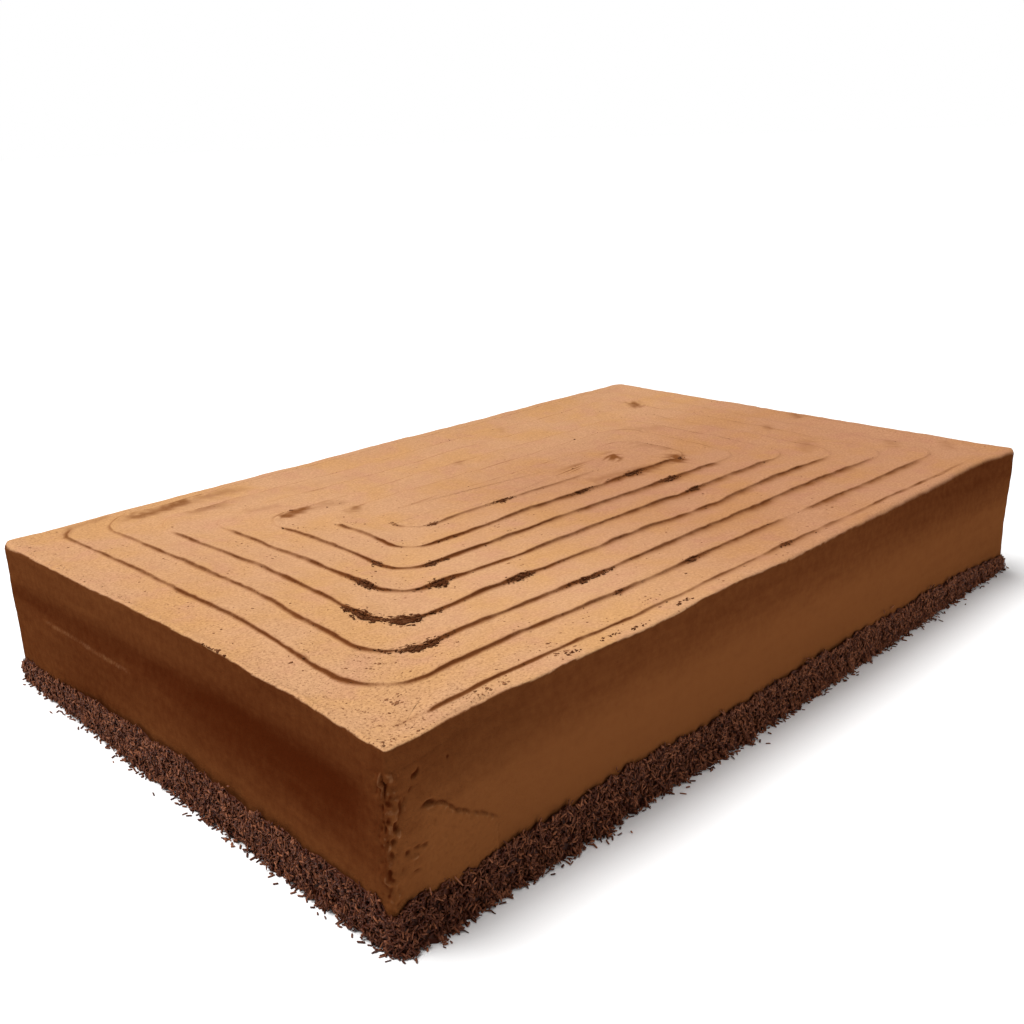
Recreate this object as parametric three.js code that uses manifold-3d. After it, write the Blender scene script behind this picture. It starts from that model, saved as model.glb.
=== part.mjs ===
// Chocolate sheet cake: an iced rectangular cake whose top is combed in one square spiral of
// overlapping bands, with a low bank of chocolate sprinkles round its foot.
// Millimetres, +X along the length, +Y across the width, +Z up, origin at the bottom centre.
import * as THREE from 'three';
import { mergeVertices } from 'three/addons/utils/BufferGeometryUtils.js';
import Module from 'manifold-3d';

const wasm = await Module();
wasm.setup();

// Driving sizes of the cake
const LENGTH = 470;
const WIDTH = 304;
const HEIGHT = 75;
const HALF_LENGTH = LENGTH / 2;
const HALF_WIDTH = WIDTH / 2;
const UPRIGHT_RADIUS = 5;
const LIP_RADIUS = 1.6;
const LIP_WIDTH = 2.5 * LIP_RADIUS;
const LIP_MIDDLE = (1 - Math.SQRT1_2) * LIP_RADIUS;
const EDGE_WAVE = { height: 0.5, alongLength: 23, alongWidth: 19 };

// The spiral: how far its first turn lies from each edge, and how far each turn steps in
const TURNS = 7;
const NEAR = { first: 11.5, step: 21.4 };
const RIGHT = { first: 6, step: 19.5 };
const FAR = { first: -12.5, step: 20.4 };
const LEFT = { first: 25.5, step: 20.25 };
const EDGE_MARGIN = 7;
const BEND_RADIUS = 20.5;
const BEND_SHRINK = 0.9;

// The bands: each rises to a lip on its outer side and drops there by a steep riser
const RISE = 1.8;
const RISER_SLANT = 0.7;
const CREST_INSET = 2.2;
const LIP_DROP = 0.35;
const FLOOR = HEIGHT - RISE;
const BAND_MIDDLE = 0.5;
const START_FADE = 4;

// Columns of the mesh along one turn, the same number for every turn
const LONG_COLUMNS = 20;
const SHORT_COLUMNS = 12;
const BEND_COLUMNS = 8;
const COLUMNS = 2 * (LONG_COLUMNS + SHORT_COLUMNS) + 4 * BEND_COLUMNS;
const LAST = TURNS * COLUMNS + LONG_COLUMNS;

// The bank of sprinkles, full by the near left corner and thin at the far ends of the sides
const CLEARANCE = 0.3;
const BANK_HEIGHT = 18;
const BANK_FOOT = 7;
const BANK_TOP = 1.7;
const BANK_CURVE = 1.3;
const BANK_TAPER = { alongWidth: 130, alongLength: 90, thinHeight: 0.66, thinFoot: 0.45 };
const BANK_RAGGED = 1.6;
const BANK_BUMP = 0.7;
const BANK_LONG_COLUMNS = 44;
const BANK_SHORT_COLUMNS = 28;
const BANK_BEND_COLUMNS = 3;
const BANK_ROWS = 4;
const SPRINKLE_COUNT = 120;
const SPRINKLE_LENGTH = 4.2;
const SPRINKLE_RADIUS = 0.5;
const SPRINKLE_SIDES = 5;
const SPRINKLE_RAISED = 0.3;
const SPRINKLE_LOWEST = 0.16;
const SPRINKLE_SPREAD = 0.62;
const SPRINKLE_TURN = 0.8;
const SPRINKLE_CLIMB = 0.8;
const GOLDEN_SHARE = (Math.sqrt(5) - 1) / 2;
const SEED = 17;

// Points closer than this are one point
const WELD = 1e-4;

// Finishes
const ICING = { color: 0xc98f5c, roughness: 0.75 };
const SPRINKLES = { color: 0x3a2019, roughness: 0.5 };

// A seeded source of random numbers from 0 to 1
function makeRandom(seed) {
  let state = seed;
  return () => {
    state = (state + 0x6d2b79f5) | 0;
    let mixed = Math.imul(state ^ (state >>> 15), 1 | state);
    mixed = (mixed + Math.imul(mixed ^ (mixed >>> 7), 61 | mixed)) ^ mixed;
    return ((mixed ^ (mixed >>> 14)) >>> 0) / 4294967296;
  };
}

// How far a side of a turn lies from its edge, never closer than the margin
const inset = (side, turn) => Math.max(EDGE_MARGIN, side.first + side.step * turn);

// The columns along one side of a turn, each with its place and the direction that leaves the cake
function sideLine(from, to, outward, columns) {
  const points = [];
  for (let j = 0; j < columns; j += 1) {
    points.push({ at: from.clone().lerp(to, j / columns), out: outward.clone() });
  }
  return points;
}

// A quarter bend round a centre, starting at an angle and turning left
function bend(centre, radius, startAngle, columns) {
  const points = [];
  for (let j = 0; j < columns; j += 1) {
    const angle = startAngle + (Math.PI / 2) * (j / columns);
    const out = new THREE.Vector2(Math.cos(angle), Math.sin(angle));
    points.push({ at: centre.clone().addScaledVector(out, radius), out });
  }
  return points;
}

// One turn: near side, right side, far side and left side, each followed by its bend.
// The start, west, is the left edge that the near side sets out from, and south the edge it ends on.
function roundedTurn(edges, radius, counts) {
  const { west, near, right, far, left, south } = edges;
  const corner = (x, y) => new THREE.Vector2(x, y);
  const nearLeft = corner(west + radius, near);
  const nearRight = corner(right - radius, near);
  const rightLow = corner(right, near + radius);
  const rightHigh = corner(right, far - radius);
  const farRight = corner(right - radius, far);
  const farLeft = corner(left + radius, far);
  const leftHigh = corner(left, far - radius);
  const leftLow = corner(left, south + radius);
  return [
    ...sideLine(nearLeft, nearRight, corner(0, -1), counts.long),
    ...bend(corner(right - radius, near + radius), radius, -Math.PI / 2, counts.bend),
    ...sideLine(rightLow, rightHigh, corner(1, 0), counts.short),
    ...bend(corner(right - radius, far - radius), radius, 0, counts.bend),
    ...sideLine(farRight, farLeft, corner(0, 1), counts.long),
    ...bend(corner(left + radius, far - radius), radius, Math.PI / 2, counts.bend),
    ...sideLine(leftHigh, leftLow, corner(-1, 0), counts.short),
    ...bend(corner(left + radius, south + radius), radius, Math.PI, counts.bend),
  ];
}

// The closed outline of the cake, moved in or out, with the corners kept round
function outline(offset, counts) {
  const x = HALF_LENGTH + offset;
  const y = HALF_WIDTH + offset;
  const edges = { west: -x, near: -y, right: x, far: y, left: -x, south: -y };
  return roundedTurn(edges, UPRIGHT_RADIUS + offset, counts);
}

// The plan of the whole spiral, from the near left corner of the first turn to the centre
function spiralPlan(counts) {
  const points = [];
  for (let turn = 0; turn <= TURNS; turn += 1) {
    const edges = {
      west: -HALF_LENGTH + inset(LEFT, turn - 1),
      near: -HALF_WIDTH + inset(NEAR, turn),
      right: HALF_LENGTH - inset(RIGHT, turn),
      far: HALF_WIDTH - inset(FAR, turn),
      left: -HALF_LENGTH + inset(LEFT, turn),
      south: -HALF_WIDTH + inset(NEAR, turn + 1),
    };
    points.push(...roundedTurn(edges, BEND_RADIUS - BEND_SHRINK * turn, counts));
  }
  return points.slice(0, LAST + 1);
}

// How tall the riser is at a column: it fades in at the start, dies away along the far side of
// the first turn, and fades out at the centre
function riserHeight(column) {
  const rightEnd = LONG_COLUMNS + SHORT_COLUMNS + 2 * BEND_COLUMNS;
  const leftStart = rightEnd + LONG_COLUMNS;
  const fadeIn = THREE.MathUtils.smoothstep(column, 0, START_FADE);
  const fadeOut = 1 - THREE.MathUtils.smoothstep(column, LAST - LONG_COLUMNS / 2, LAST);
  const leaving = 1 - THREE.MathUtils.smoothstep(column, LONG_COLUMNS, rightEnd);
  const returning = THREE.MathUtils.smoothstep(column, leftStart, leftStart + BEND_COLUMNS);
  return RISE * fadeIn * fadeOut * Math.max(leaving, returning);
}

// Points and faces of a mesh, with the quads split in two
function makeMesh() {
  const positions = [];
  const faces = [];
  return {
    add(point, z) {
      positions.push(point.x, point.y, z);
      return positions.length / 3 - 1;
    },
    triangle(a, b, c) {
      faces.push(a, b, c);
    },
    quad(a, b, c, d) {
      faces.push(a, b, c, a, c, d);
    },
    fan(hub, rim) {
      rim.forEach((id, j) => faces.push(hub, id, rim[(j + 1) % rim.length]));
    },
    geometry() {
      const geometry = new THREE.BufferGeometry();
      geometry.setAttribute('position', new THREE.Float32BufferAttribute(positions, 3));
      geometry.setIndex(faces);
      return geometry;
    },
  };
}

// The iced cake: spiral bands, the margin round them, the rounded lip, the sides and the flat base
function icedCake() {
  const counts = { long: LONG_COLUMNS, short: SHORT_COLUMNS, bend: BEND_COLUMNS };
  const mesh = makeMesh();
  const plan = spiralPlan(counts);
  const footPlan = plan.map(({ at, out }) => at.clone().addScaledVector(out, RISER_SLANT));
  const wave = ({ x, y }) => (
    EDGE_WAVE.height * Math.sin(x / EDGE_WAVE.alongLength) * Math.cos(y / EDGE_WAVE.alongWidth)
  );

  // Each ring of the edge, from the inside of the lip down the side to the base
  const rings = [
    { offset: -LIP_WIDTH, z: HEIGHT - LIP_DROP },
    { offset: -LIP_RADIUS, z: HEIGHT },
    { offset: -LIP_MIDDLE, z: HEIGHT - LIP_MIDDLE },
    { offset: 0, z: HEIGHT - LIP_RADIUS },
    { offset: 0, z: 0 },
  ].map(({ offset, z }) => outline(offset, counts).map(({ at }) => {
    const lift = z > 0 ? wave(at) - EDGE_WAVE.height : 0;
    return mesh.add(at, z + lift);
  }));
  for (let row = 0; row + 1 < rings.length; row += 1) {
    for (let j = 0; j < COLUMNS; j += 1) {
      const next = (j + 1) % COLUMNS;
      mesh.quad(rings[row + 1][j], rings[row + 1][next], rings[row][next], rings[row][j]);
    }
  }
  const baseHub = mesh.add(new THREE.Vector2(0, 0), 0);
  mesh.fan(baseHub, [...rings[rings.length - 1]].reverse());

  // Four points across every band: the lip, the crest, the middle and the foot of the next riser
  const firstFeet = footPlan.slice(0, COLUMNS).map((point) => mesh.add(point, FLOOR));
  const bands = plan.map(({ at, out }, column) => {
    const rise = riserHeight(column);
    const crest = at.clone().addScaledVector(out, -CREST_INSET);
    const band = [mesh.add(at, FLOOR + rise * (1 - LIP_DROP)), mesh.add(crest, FLOOR + rise)];
    if (column + COLUMNS <= LAST) {
      const foot = footPlan[column + COLUMNS];
      const middle = crest.clone().lerp(foot, BAND_MIDDLE);
      band.push(mesh.add(middle, FLOOR + rise * BAND_MIDDLE), mesh.add(foot, FLOOR));
    }
    return band;
  });
  const footOf = (column) => (column < COLUMNS ? firstFeet[column] : bands[column - COLUMNS][3]);

  // The margin between the lip of the cake and the first turn, closed where the spiral starts
  const lip = rings[0];
  for (let j = 0; j + 1 < COLUMNS; j += 1) {
    mesh.quad(lip[j], lip[j + 1], footOf(j + 1), footOf(j));
  }
  const beforeStart = footOf(COLUMNS - 1);
  const startEdge = [lip[COLUMNS - 1], lip[0], firstFeet[0], ...bands[0]];
  for (let j = 0; j + 1 < startEdge.length; j += 1) {
    mesh.triangle(beforeStart, startEdge[j], startEdge[j + 1]);
  }

  // The risers and the bands
  for (let column = 0; column < LAST; column += 1) {
    const here = bands[column];
    const next = bands[column + 1];
    mesh.quad(footOf(column), footOf(column + 1), next[0], here[0]);
    const across = column + 1 + COLUMNS <= LAST ? here.length : 2;
    for (let row = 0; row + 1 < across; row += 1) {
      mesh.quad(here[row], next[row], next[row + 1], here[row + 1]);
    }
  }

  // The smooth panel in the centre, fanned from a hub beside the end of the spiral
  const open = bands[LAST - COLUMNS];
  const rim = bands.slice(LAST - COLUMNS).map((band) => band[1]);
  const end = plan[LAST].at;
  const farSide = plan[LAST - COLUMNS / 2].at;
  const hub = mesh.add(new THREE.Vector2(end.x + CREST_INSET, (end.y + farSide.y) / 2), FLOOR);
  mesh.fan(hub, [...rim, bands[LAST][0], open[3], open[2]]);
  return mesh.geometry();
}

// A closed solid from a geometry, for joining solids
function toSolid(geometry) {
  const bare = geometry.clone();
  bare.deleteAttribute('normal');
  bare.deleteAttribute('uv');
  const merged = mergeVertices(bare, WELD);
  const vertProperties = new Float32Array(merged.attributes.position.array);
  const triVerts = new Uint32Array(merged.index.array);
  return new wasm.Manifold(new wasm.Mesh({ numProp: 3, vertProperties, triVerts }));
}

// The geometry of a solid
function toGeometry(solid) {
  const { vertProperties, triVerts } = solid.getMesh();
  const geometry = new THREE.BufferGeometry();
  geometry.setAttribute('position', new THREE.BufferAttribute(vertProperties, 3));
  geometry.setIndex(new THREE.BufferAttribute(triVerts, 1));
  return geometry;
}

// How full the bank is at a place on the outline, from 0 at the far ends to 1 by the near left corner
function fullness(at) {
  const alongWidth = THREE.MathUtils.smoothstep(HALF_WIDTH - at.y, 0, BANK_TAPER.alongWidth);
  return alongWidth * THREE.MathUtils.smoothstep(HALF_LENGTH - at.x, 0, BANK_TAPER.alongLength);
}

// The height of the bank at a place on the outline
function bankHeight(at) {
  return BANK_HEIGHT * THREE.MathUtils.lerp(BANK_TAPER.thinHeight, 1, fullness(at));
}

// How far the bank stands out from the side of the cake at a place and at a share of its height
function bankReach(at, share) {
  const foot = BANK_FOOT * THREE.MathUtils.lerp(BANK_TAPER.thinFoot, 1, fullness(at));
  return BANK_TOP + (foot - BANK_TOP) * (1 - share) ** BANK_CURVE;
}

// The uneven core of the bank: a ring that leans on the side of the cake
function bankCore(random) {
  const counts = { long: BANK_LONG_COLUMNS, short: BANK_SHORT_COLUMNS, bend: BANK_BEND_COLUMNS };
  const mesh = makeMesh();
  const wall = outline(CLEARANCE, counts);
  const rows = wall.map(({ at, out }) => {
    const height = bankHeight(at) + BANK_RAGGED * (2 * random() - 1);
    const section = [mesh.add(at, 0)];
    for (let row = 0; row <= BANK_ROWS; row += 1) {
      const share = row / BANK_ROWS;
      const bump = BANK_BUMP * (2 * random() - 1);
      const reach = bankReach(at, share) + bump;
      section.push(mesh.add(at.clone().addScaledVector(out, reach), height * share));
    }
    section.push(mesh.add(at, height + BANK_BUMP));
    return section;
  });
  for (let j = 0; j < rows.length; j += 1) {
    const here = rows[j];
    const next = rows[(j + 1) % rows.length];
    for (let row = 0; row < here.length; row += 1) {
      const above = (row + 1) % here.length;
      mesh.quad(here[row], next[row], next[above], here[above]);
    }
  }
  return mesh.geometry();
}

// One sprinkle: a short rod with pointed-off ends
function sprinkle() {
  const half = SPRINKLE_LENGTH / 2;
  const profile = [
    new THREE.Vector2(0, -half),
    new THREE.Vector2(SPRINKLE_RADIUS, -half + SPRINKLE_RADIUS / 2),
    new THREE.Vector2(SPRINKLE_RADIUS, half - SPRINKLE_RADIUS / 2),
    new THREE.Vector2(0, half),
  ];
  return new THREE.LatheGeometry(profile, SPRINKLE_SIDES);
}

// The bank of sprinkles: its core with whole sprinkles spread evenly over the slope
function sprinkleBank() {
  const random = makeRandom(SEED);
  let solid = toSolid(bankCore(random));
  const perSide = Math.ceil(SPRINKLE_COUNT / (2 * (LENGTH + WIDTH)) * LENGTH);
  const counts = { long: perSide, short: Math.ceil((perSide * WIDTH) / LENGTH), bend: 1 };
  const places = outline(CLEARANCE, counts);
  const up = new THREE.Vector3(0, 1, 0);
  const rods = places.map(({ at, out }, j) => {
    const share = SPRINKLE_LOWEST + SPRINKLE_SPREAD * ((j * GOLDEN_SHARE) % 1);
    const reach = bankReach(at, share) + SPRINKLE_RAISED;
    const along = new THREE.Vector3(-out.y, out.x, 0);
    const fall = bankReach(at, 0) - bankReach(at, 1);
    const slope = new THREE.Vector3(-out.x * fall, -out.y * fall, bankHeight(at)).normalize();
    const turn = SPRINKLE_TURN * (2 * random() - 1);
    const climb = SPRINKLE_CLIMB * Math.sin(turn);
    const axis = along.multiplyScalar(Math.cos(turn)).addScaledVector(slope, climb);
    const centre = at.clone().addScaledVector(out, reach);
    const place = new THREE.Matrix4().compose(
      new THREE.Vector3(centre.x, centre.y, share * bankHeight(at)),
      new THREE.Quaternion().setFromUnitVectors(up, axis.normalize()),
      new THREE.Vector3(1, 1, 1),
    );
    return toSolid(sprinkle().applyMatrix4(place));
  });
  for (const rod of rods) {
    solid = solid.add(rod);
  }
  const pieces = solid.decompose();
  return toGeometry(pieces.reduce((kept, piece) => (piece.volume() > kept.volume() ? piece : kept)));
}

// A named mesh with a finish of its own
function named(name, geometry, finish) {
  geometry.computeVertexNormals();
  const material = new THREE.MeshStandardMaterial({ ...finish, metalness: 0 });
  const mesh = new THREE.Mesh(geometry, material);
  mesh.name = name;
  return mesh;
}

const cake = new THREE.Group();
cake.name = 'chocolate_sheet_cake';
cake.add(named('iced_cake', icedCake(), ICING));
cake.add(named('sprinkle_bank', sprinkleBank(), SPRINKLES));

export default cake;
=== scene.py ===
# %% [markdown]
# A chocolate sheet cake. Its icing is combed on top in one square spiral of overlapping bands, and a low
# bank of chocolate sprinkles runs round its foot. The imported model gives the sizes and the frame, and this
# lesson dresses it: every piece is a numpy surface in millimetres, turned to metres when it becomes a mesh.

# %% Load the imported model
import math
import bpy
import numpy as np
from mathutils import Matrix


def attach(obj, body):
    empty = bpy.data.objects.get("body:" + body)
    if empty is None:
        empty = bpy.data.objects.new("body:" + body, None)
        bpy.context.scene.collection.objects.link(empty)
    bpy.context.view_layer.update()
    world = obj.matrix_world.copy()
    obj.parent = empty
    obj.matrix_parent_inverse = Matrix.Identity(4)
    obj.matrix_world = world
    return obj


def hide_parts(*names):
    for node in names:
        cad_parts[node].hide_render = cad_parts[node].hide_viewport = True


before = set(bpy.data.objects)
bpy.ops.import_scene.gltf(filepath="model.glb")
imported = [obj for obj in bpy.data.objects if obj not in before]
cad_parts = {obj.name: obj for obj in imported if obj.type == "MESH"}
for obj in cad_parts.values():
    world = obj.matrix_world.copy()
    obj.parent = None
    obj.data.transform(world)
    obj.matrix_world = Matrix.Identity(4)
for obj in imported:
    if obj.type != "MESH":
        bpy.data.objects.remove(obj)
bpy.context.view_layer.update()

# %% [markdown]
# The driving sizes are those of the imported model, a deep half-sheet cake. Each side of the spiral lies a
# first distance from its edge and a step further in with every turn. All turns have the same number of
# columns of points, so that neighbouring turns can share points.

# %% Sizes in millimetres
MM = 0.001
LENGTH, WIDTH, HEIGHT = 470.0, 304.0, 75.0
HALF_LENGTH, HALF_WIDTH = LENGTH / 2, WIDTH / 2
NEAR_CORNER = np.array([-HALF_LENGTH, -HALF_WIDTH])
CORNER_RADII = {"near": 2.6, "right": 3.5, "far": 6.0, "left": 5.5}
TURNS = 7
NEAR, RIGHT, FAR, LEFT = (11.5, 21.4), (6.0, 19.5), (-12.5, 20.4), (25.5, 20.25)
START, EDGE_MARGIN = 2.5, 3.6
BEND_RADIUS, BEND_SHRINK, FIRST_BEND = 20.5, 0.9, 7.0
RISE, FLOOR_DEPTH = 1.5, 1.8
FLOOR = HEIGHT - FLOOR_DEPTH
LONG, SHORT, BEND = 228, 130, 24
SEGMENTS = np.array([LONG, BEND, SHORT, BEND] * 2)
STARTS = np.concatenate([[0], np.cumsum(SEGMENTS)])
COLUMNS = int(STARTS[-1])
LAST = TURNS * COLUMNS + LONG
WHOLE = LAST + 1 - COLUMNS
INDEX = np.arange(LAST + 1)
turn_of = INDEX / COLUMNS
print("columns in a turn", COLUMNS, "and in the whole spiral", LAST + 1)


# %% [markdown]
# Icing spread by hand is never quite even. Noise textures could give that to a finish, but a shape needs
# numbers for its points, so unevenness here is a sum of sine waves in random directions, from a fixed seed.
# Soft steps, windows and bell curves of a distance give every form that starts and ends somewhere.

# %% Unevenness and soft steps
def waves(points, length, seed, count=20):
    """Smooth unevenness with a spread of about one: the sum of sine waves in random directions whose
    lengths lie round one value, divided by the root of half their count."""
    rng = np.random.default_rng(seed)
    points = np.asarray(points, float)
    direction = rng.normal(size=(count, points.shape[-1]))
    direction /= np.linalg.norm(direction, axis=1, keepdims=True)
    turns = 2 * np.pi / (length * rng.uniform(0.7, 1.5, count))
    angle = points @ (direction * turns[:, None]).T + rng.uniform(0, 2 * np.pi, count)
    return np.sin(angle).sum(-1) * math.sqrt(2 / count)


def smooth(value, low, high):
    """A soft step: 0 below low, 1 above high, and 3t squared less 2t cubed between them."""
    share = np.clip((value - low) / (high - low), 0, 1)
    return share * share * (3 - 2 * share)


def window(value, start, full, fade, end):
    """A soft step up between the first two values and down again between the last two."""
    return smooth(value, start, full) * (1 - smooth(value, fade, end))


def bell(value, reach):
    """A bell curve: 1 at nought, falling as e to the less square of the value in reaches."""
    return np.exp(-((value / reach) ** 2))


def mix(low, high, share):
    """The value that lies a share of the way from low to high."""
    return low + (high - low) * share


def apart(points, place):
    """How far points lie from a place, or each from a place of its own."""
    return np.linalg.norm(points - place, axis=1)


def moved(plan, out, distance):
    """Places moved along their own directions by their own distances."""
    return plan + out * distance[:, None]


def from_left(plan):
    """How far places lie from the left side."""
    return plan[:, 0] + HALF_LENGTH


def from_far(plan):
    """How far places lie from the far side."""
    return HALF_WIDTH - plan[:, 1]


print("waves have a spread of", waves(np.arange(2000)[:, None], 30, 1).std().round(2))


# %% [markdown]
# A mesh is points and faces. Adding faces one by one is slow, so whole arrays of point numbers are joined
# into quads, and one function turns them into a piece that rides on the cake's only body.

# %% Meshes from arrays
def make_piece(name, points, faces, slot, **attributes):
    """A mesh from points in millimetres and a list of face arrays, with values for each attribute."""
    mesh = bpy.data.meshes.new(name)
    mesh.from_pydata((points * MM).tolist(), [], [face for group in faces for face in group.tolist()])
    for key, values in attributes.items():
        layer = mesh.attributes.new(key, "FLOAT", "POINT")
        layer.data.foreach_set("value", np.ascontiguousarray(values, np.float32))
    mesh.polygons.foreach_set("use_smooth", np.ones(len(mesh.polygons), bool))
    mesh.update()
    piece = bpy.data.objects.new(name, mesh)
    bpy.context.scene.collection.objects.link(piece)
    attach(piece, "root")
    triangles = sum(len(group) * (group.shape[1] - 2) for group in faces)
    print(name, "points", len(points), "triangles", triangles)
    return piece


def strip(first, second):
    """Quads between two rows of point numbers of the same length."""
    return np.stack([first[:-1], first[1:], second[1:], second[:-1]], axis=1)


def grid_faces(rows):
    """Quads of a grid of point numbers, row by row."""
    return np.concatenate([strip(low, high) for low, high in zip(rows[:-1], rows[1:])])


def number_rows(rows, start=0):
    """Point numbers for rows of points, counted on from a start."""
    ends = start + np.cumsum([len(row) for row in rows])
    return [np.arange(end - len(row), end) for row, end in zip(rows, ends)]


def closed(row):
    """A row of point numbers that comes back to its first point."""
    return np.append(row, row[0])


def fan(hub, rim):
    """Triangles from one hub point to an open rim."""
    return np.stack([np.full(len(rim) - 1, hub), rim[:-1], rim[1:]], axis=1)


print("a strip of three points a side has", len(strip(np.arange(3), np.arange(3, 6))), "quads")

# %% [markdown]
# The comb's path is a rectangle with round bends that steps in as it goes round. Each side runs between the
# centres of two bends, moved out by the bend's radius, so one formula gives sides and bends alike. A curve
# object could be bent to it by hand, but then its points would not line up from turn to turn.

# %% The plan of the spiral
LEFT_BOW, LINE_BOW = 3.5, 1.2
SOFT_EDGE = (2.0, 42.0, 50.0, 80.0)
TURN_SPACING = 60


def turn_points(west, near, right, far, left, south, radius, column):
    """Points and outward directions of a turn: the centre slides from one bend's centre to the next along a
    side and stays there in a bend, and the point is that centre plus the radius in the outward direction."""
    part = np.searchsorted(STARTS, column, side="right") - 1
    share = (column - STARTS[part]) / SEGMENTS[part]
    side, bending = part // 2, part % 2
    centre_x = np.stack([west + radius, right - radius, right - radius, left + radius, left + radius])
    centre_y = np.stack([near + radius, near + radius, far - radius, far - radius, south + radius])
    here = np.arange(len(column))
    along = np.where(bending, 1.0, share)
    x = mix(centre_x[side, here], centre_x[side + 1, here], along)
    y = mix(centre_y[side, here], centre_y[side + 1, here], along)
    angle = (side - 1 + np.where(bending, share, 0.0)) * np.pi / 2
    out = np.stack([np.cos(angle), np.sin(angle)], axis=1)
    return moved(np.stack([x, y], axis=1), out, np.asarray(radius)), out


def outline(offset):
    """The outline of the cake, moved out by an offset, as one turn whose radius goes from each corner's own
    to the next along the sides."""
    one = np.ones(COLUMNS)
    near, right, far, left = CORNER_RADII.values()
    corners = [near, right, right, far, far, left, left, near, near]
    radius = np.interp(np.arange(COLUMNS), STARTS, corners)
    x, y = (HALF_LENGTH + offset) * one, (HALF_WIDTH + offset) * one
    return turn_points(-x, -y, x, y, -x, -y, radius + offset, np.arange(COLUMNS))


def spiral():
    """The whole spiral: each turn's sides lie a first distance plus a step for each turn from the edges, and
    never closer than the margin. The left sides bow in by part of a sine wave, and the first near sides by a
    window along the edge."""
    turn, column = INDEX // COLUMNS, INDEX % COLUMNS
    first_bends = bell(turn_of - np.round(turn_of), 0.1) * 0.45 ** (turn_of - 1) * (turn_of > 0.5)
    radius = BEND_RADIUS - BEND_SHRINK * turn_of + FIRST_BEND * first_bends

    def inset(edge, shift=0):
        """How far the sides along an edge lie from it, in the turns or in those a shift later."""
        return np.maximum(EDGE_MARGIN, edge[0] + edge[1] * (turn + shift))

    west = np.where(turn == 0, START, inset(LEFT, -1))
    at, out = turn_points(
        -HALF_LENGTH + west, -HALF_WIDTH + inset(NEAR), HALF_LENGTH - inset(RIGHT),
        HALF_WIDTH - inset(FAR), -HALF_LENGTH + inset(LEFT), -HALF_WIDTH + inset(NEAR, 1),
        radius, column)
    left_share = np.clip((column - STARTS[6]) / SHORT, 0, 1)
    bow = LEFT_BOW * (1 - turn / TURNS) * np.sin(np.pi * left_share) ** 1.5
    near_turn = turn + (column >= STARTS[7])
    near_side = np.clip(-out[:, 1], 0, 1) ** 2 * 0.4 ** near_turn
    bow = bow + LINE_BOW * near_side * window(from_left(at), *SOFT_EDGE)
    return moved(at, out, -bow), out


def clear_room():
    """How freely the profile fits between a line and its neighbours, outside and inside it, from 0.15 to 1:
    the distance to the neighbour in shares of ten millimetres."""
    step = apart(path[COLUMNS:], path[:WHOLE])
    to_edge = np.minimum(HALF_LENGTH - np.abs(path[:COLUMNS, 0]), HALF_WIDTH - np.abs(path[:COLUMNS, 1]))
    outside = np.concatenate([to_edge - CORNER_RADII["near"], step])
    inside = np.concatenate([step, np.full(COLUMNS, 10.0)])
    return np.clip(outside / 10, 0.15, 1), np.clip(inside / 10, 0.15, 1)


path, outward = spiral()
room_out, room_in = clear_room()
path_3d = np.column_stack([path, TURN_SPACING * turn_of])
print("spiral from", path[0].round(1), "to", path[-1].round(1))

# %% [markdown]
# Where the comb dragged, the lip of a band is torn into dark crumbs. The tears that show are listed by where
# they lie from the near left corner, how far each one reaches along its lip and how wide it is.

# %% Torn places along the lips
TEARS = (
    (73, 95, 11, 2.4), (79, 84, 12, 2.2), (64, 55, 10, 2.0), (50, 60, 5, 1.0), (92, 119, 9, 1.6),
    (109, 104, 8, 1.8), (114, 135, 6, 1.2), (123, 122, 8, 1.2), (158, 55, 12, 1.5), (135, 80, 11, 1.6),
    (206, 36, 8, 1.3), (150, 32, 6, 1.0), (147, 143, 6, 1.0), (247, 141, 8, 1.0), (287, 147, 10, 1.1),
    (290, 107, 8, 1.1), (295, 119, 8, 1.1), (245, 11, 6, 1.0), (209, 161, 8, 1.0), (158, 161, 5, 0.8))


def torn(points):
    """How torn the icing is and how wide the tears are: the largest of the bell curves round the points that
    lie nearest the listed places, and the same times each tear's width."""
    share, wide = np.zeros((2, len(points)))
    for x, y, reach, width in TEARS:
        nearest = apart(points, NEAR_CORNER + (x, y)).argmin()
        here = bell(apart(points, points[nearest]), reach)
        share, wide = np.maximum(share, here), np.maximum(wide, width * here)
    return share, wide


tear, tear_width = torn(path) * np.clip(0.8 + 0.4 * waves(path_3d, 9, 26), 0.2, 1.2)
print("torn share of the lips", float((tear > 0.3).mean()))

# %% [markdown]
# Each band rises to a lip on its outer side and drops there by a steep riser. The riser fades in where the
# comb set down, dies away along the far side of the first turn, grows faint in two of the bends, and fades
# out in the centre. A bump texture could fake it, but the lips show against the light from low down.

# %% Risers
def turned_away(index):
    """1 along the right and far sides of a turn and 0 along the near and left ones, turning over slowly."""
    return window(index % COLUMNS, 0.93 * STARTS[1], STARTS[1] + 0.4 * BEND,
                  STARTS[5] + 0.4 * BEND, STARTS[6] + 0.1 * SHORT)


def faded_bend(index):
    """How faint lines are in the bends: windows round the right end of the near sides and the far end of the
    left sides, where it grows with the turns."""
    column = index % COLUMNS
    right = window(column, 0.9 * STARTS[1], STARTS[1] + 0.3 * BEND, STARTS[2], STARTS[2] + 0.35 * SHORT)
    left = window(column, STARTS[5] - 0.2 * LONG, STARTS[5], STARTS[6], STARTS[6] + 0.12 * SHORT)
    return right + left * np.interp(index / COLUMNS, [0.8, 1.8, 2.8], [0.3, 0.75, 1.0])


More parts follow.
